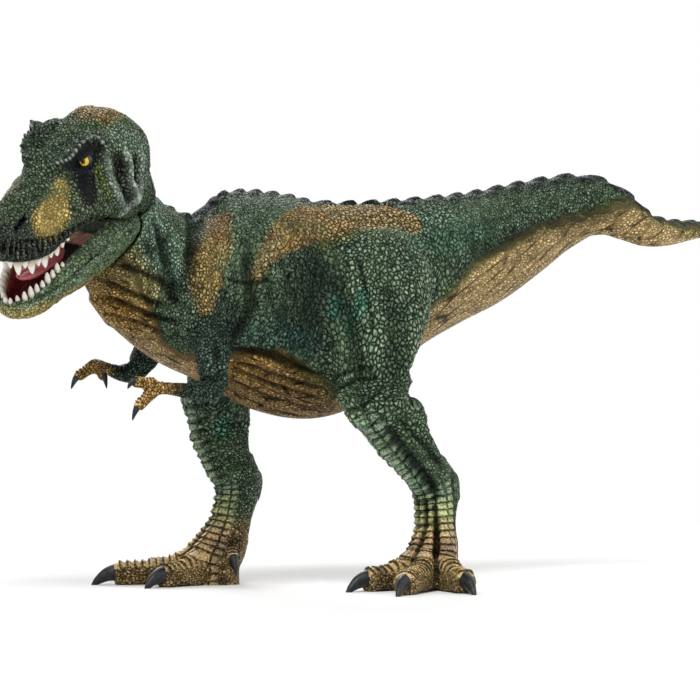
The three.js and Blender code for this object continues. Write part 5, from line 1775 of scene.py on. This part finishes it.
def tooth_set(line, length, width, lean, shares, towards):
    """The strip and the teeth, evenly spaced along the line, longest where the shares say."""
    places = np.linspace(0, 1, 801)
    path = catmull(line, places)[0]
    far = np.concatenate([[0], np.cumsum(np.linalg.norm(np.diff(path, axis=0), axis=1))])
    count = len(shares)
    strip = Tube(line, np.full((len(line), 3), strip_radius), (0, 0, 1), samples=8)
    shells = [closed(strip.grid(12))]
    along = [np.zeros(len(shells[0][0]))]
    for i in range(2 * count):
        place = np.interp((i + 0.5) / (2 * count) * far[-1], far, places)
        at, heading_there = catmull(line, np.array([place]))
        along_lip = unit(heading_there[0] * [1, 1, 0])
        inwards = np.cross([0, 0, 1], along_lip)
        share = shares[count - 1 - i if i < count else i - count]
        long, thick = length * share, width * (1 + share) / 2
        offsets = tooth_shares[:, :1] * long * np.array([0, 0, towards])
        offsets = offsets + tooth_shares[:, 1:2] * lean * long * inwards
        size = tooth_shares[:, 2:] * thick / 2 * np.array([0.92, 1.08, 1.08])
        tooth = Tube(at[0] + offsets, size, along_lip, samples=7)
        shells.append(closed(tooth.grid(18)))
        along.append(run_of(tooth, 18))
    return shells, along


# %% Teeth
ivory, tree, stain = mottled_material("painted_vinyl_ivory", 0.9, 3.0)
along = add(tree, "ShaderNodeAttribute", {}, "Fac", attribute_name="along")
ragged_root = add(tree, "ShaderNodeMath", {0: stain, 1: 0.5, 2: along}, operation="MULTIPLY_ADD")
clean = add(tree, "ShaderNodeMapRange", {"Value": ragged_root, "From Min": 0.42, "From Max": 0.85})
tones = {0: clean, 6: linear("#b09a78"), 7: linear("#e9e5da")}
ivory_colour = add(tree, "ShaderNodeMix", tones, 2, data_type="RGBA")
height = add(tree, "ShaderNodeBump", {"Height": stain, "Strength": 0.6, "Distance": 0.12 * MM})
finish_material(tree, {"Base Color": ivory_colour, "Roughness": 0.28, "Normal": height, "IOR": 1.5})

upper_line = lip_line(muzzle_shares, 6, True)
lower_line = lip_line(jaw_shares, 5, False)
shells, along = tooth_set(upper_line, 5.2, 2.7, 0.12, upper_tooth_shares, -1)
small_piece("upper_tooth_row", "upper_teeth", "figure", shells, ivory, along, place_head)
shells, along = tooth_set(lower_line, 4.6, 2.1, 0.1, lower_tooth_shares, 1)
small_piece("lower_tooth_row", "lower_teeth", "jaw", shells, ivory, along, place_jaw)

# %% [markdown]
# The tongue is glossy pink vinyl with a groove along its middle and a grain of small buds. The claws are
# sprayed black and left glossy, with a paler worn streak along each; the tip of every claw is a blunt
# point, as a soft toy's must be.

# %% Tongue
tongue_tube = skull_tube(tongue_shares)
grid = tongue_tube.grid(mouth_sides)
turn = circle(mouth_sides)
groove = bell((turn - np.pi / 2) / 0.5)[None, :, None] * tongue_tube.size[:, 1][:, None, None]
grid = grid - 0.45 * groove * tongue_tube.rise[:, None]
wet, tree, cloud = mottled_material("glossy_painted_tongue", 0.3, 3.0)
place = add(tree, "ShaderNodeTexCoord", {}, "Object")
buds = add(tree, "ShaderNodeTexVoronoi", {"Vector": place, "Scale": 1.4 / MM}, "Distance", feature="F1")
tones = {0: cloud, 6: linear("#b03c44"), 7: linear("#e58c8c")}
flesh = add(tree, "ShaderNodeMix", tones, 2, data_type="RGBA")
bump = add(tree, "ShaderNodeBump", {"Height": buds, "Strength": 0.5, "Distance": 0.25 * MM})
finish_material(tree, {"Base Color": flesh, "Roughness": 0.22, "Normal": bump, "IOR": 1.45})
small_piece("tongue_skin", "tongue", "jaw", [closed(grid)], wet, place=place_jaw)

# %% Claws
claw_finish, tree, streak = mottled_material("glossy_black_claw", 0.5, 4.0)
along = add(tree, "ShaderNodeAttribute", {}, "Fac", attribute_name="along")
worn = add(tree, "ShaderNodeMapRange", {"Value": streak, "From Min": 0.5, "From Max": 0.72})
rooted = {"Value": along, "From Min": 0.15, "From Max": 0.4, "To Min": 1, "To Max": 0}
rooted = add(tree, "ShaderNodeMapRange", rooted)
tones = {0: worn, 6: linear("#121315"), 7: linear("#33353a")}
horn = add(tree, "ShaderNodeMix", tones, 2, data_type="RGBA")
horn = add(tree, "ShaderNodeMix", {0: rooted, 6: horn, 7: linear("#2b241a")}, 2, data_type="RGBA")
bump = add(tree, "ShaderNodeBump", {"Height": streak, "Strength": 0.5, "Distance": 0.3 * MM})
rough = add(tree, "ShaderNodeMapRange", {"Value": streak, "To Min": 0.32, "To Max": 0.55})
finish_material(tree, {"Base Color": horn, "Roughness": rough, "Normal": bump, "IOR": 1.4})

# Length, width, droop and depth of the seat of each kind of claw.
claw_sizes = {"toe": (12.4, 6.0, 4.2, 3), "spur": (7, 4, 2, 2), "finger": (4.4, 2.8, 2.4, 1.4)}
claw_shares = np.array([
    [0.1, -0.05, 0.9], [0.35, -0.1, 0.9], [0.6, 0.06, 0.72],
    [0.82, 0.45, 0.46], [0.95, 0.82, 0.24], [1, 1, 0.09],
])
claw_sides = 40
for name, (end, direction, kind) in claw_seats.items():
    long, wide, droop, seat = claw_sizes[kind]
    at = end + claw_shares[:, :1] * long * direction - claw_shares[:, 1:2] * [0, 0, droop]
    at = np.vstack([end - seat * direction, at])
    size = np.concatenate([[0.9], claw_shares[:, 2]])[:, None] * np.array([0.84, 1, 1]) * wide / 2
    tube = Tube(at, size, (-direction[1], direction[0], 0.0), samples=10)
    grid = tube.grid(claw_sides)
    grid[..., 2] = np.maximum(grid[..., 2], 0.0)
    run = [run_of(tube, claw_sides)]
    small_piece(name + "_horn", name, "figure", [closed(grid)], claw_finish, run)

# %% [markdown]
# Each eye is a glossy bead: yellow iris, dark red-brown pupil turned forwards, and a dark rim that the
# lids hide. The distance from the line of sight is worked out for each point, so that the rings are sharp.

# %% Eyes
def turned_on_lathe(along, radii, sides):
    """Rings about the Y axis: circles of the given radii at the places along it."""
    around = circle(sides)
    grid = np.zeros((len(along), sides, 3))
    grid[..., 0] = radii[:, None] * np.cos(around)
    grid[..., 1] = along[:, None]
    grid[..., 2] = radii[:, None] * np.sin(around)
    return grid


eye_finish, tree, fibre = mottled_material("glossy_painted_eye", 3.0, 3.0)
away = add(tree, "ShaderNodeAttribute", {}, "Fac", attribute_name="along")
away = add(tree, "ShaderNodeMath", {0: fibre, 1: 0.06, 2: away}, operation="MULTIPLY_ADD")
tones = {0: fibre, 6: linear("#b8860f"), 7: linear("#ecd23a")}
iris = add(tree, "ShaderNodeMix", tones, 2, data_type="RGBA")
bead = linear("#120a08")
rings = [(0.17, 0.21, linear("#5a1c0c")), (0.24, 0.3, iris), (0.56, 0.62, linear("#1a1a14"))]
for start, end, colour in rings:
    edge = add(tree, "ShaderNodeMapRange", {"Value": away, "From Min": start, "From Max": end})
    bead = add(tree, "ShaderNodeMix", {0: edge, 6: bead, 7: colour}, 2, data_type="RGBA")
finish_material(tree, {"Base Color": bead, "Roughness": 0.08, "IOR": 1.5})
for name, side in (("left_eye", 1), ("right_eye", -1)):
    half = np.linspace(0.04, np.pi - 0.04, 33)
    middle = eye_middle * [1, side, 1]
    ball = turned_on_lathe(-eye_radius * np.cos(half), eye_radius * np.sin(half), 64)
    shell = closed(ball[..., [1, 0, 2]] * [1, -1, 1] + middle)
    sight = unit(np.array([0.98, side * 0.2, 0.06]))
    facing = unit(shell[0] - middle)
    angle = np.arccos(np.clip(facing @ sight, -1, 1)) / np.pi * 2
    small_piece(name + "_bead", name, "figure", [shell], eye_finish, [angle], place_head)

# %% [markdown]
# The pin is a length of bright steel rod with its ends broken by a small chamfer. It is inside the head.

# %% Jaw pin
pin_radius, pin_half_length, pin_chamfer = 1.1, 12.0, 0.3
pin_end = pin_half_length - pin_chamfer
steps = np.array([-pin_half_length, -pin_end, pin_end, pin_half_length])
radii = np.array([pin_radius - pin_chamfer, pin_radius, pin_radius, pin_radius - pin_chamfer])
rod = turned_on_lathe(steps, radii, 48)
steel, tree, grain = mottled_material("drawn_steel", 1.2, 3.0)
rough = add(tree, "ShaderNodeMapRange", {"Value": grain, "To Min": 0.2, "To Max": 0.4})
tones = {0: grain, 6: linear("#8d8f92"), 7: linear("#b6b8ba")}
metal = add(tree, "ShaderNodeMix", tones, 2, data_type="RGBA")
finish_material(tree, {"Base Color": metal, "Metallic": 1.0, "Roughness": rough})
small_piece("jaw_pin_rod", "jaw_pin", "figure", [closed(rod)], steel, place=place_head)

# %% [markdown]
# Last, the box of the finished look is set beside the CAD's.

# %% Sizes and finish
seen_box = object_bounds()
sizes = {
    "cad": [list(corner) for corner in cad_box],
    "visual": [list(corner) for corner in seen_box],
}
for label, corners in sizes.items():
    print(label, "box, mm:", [[round(x / MM, 1) for x in corner] for corner in corners])
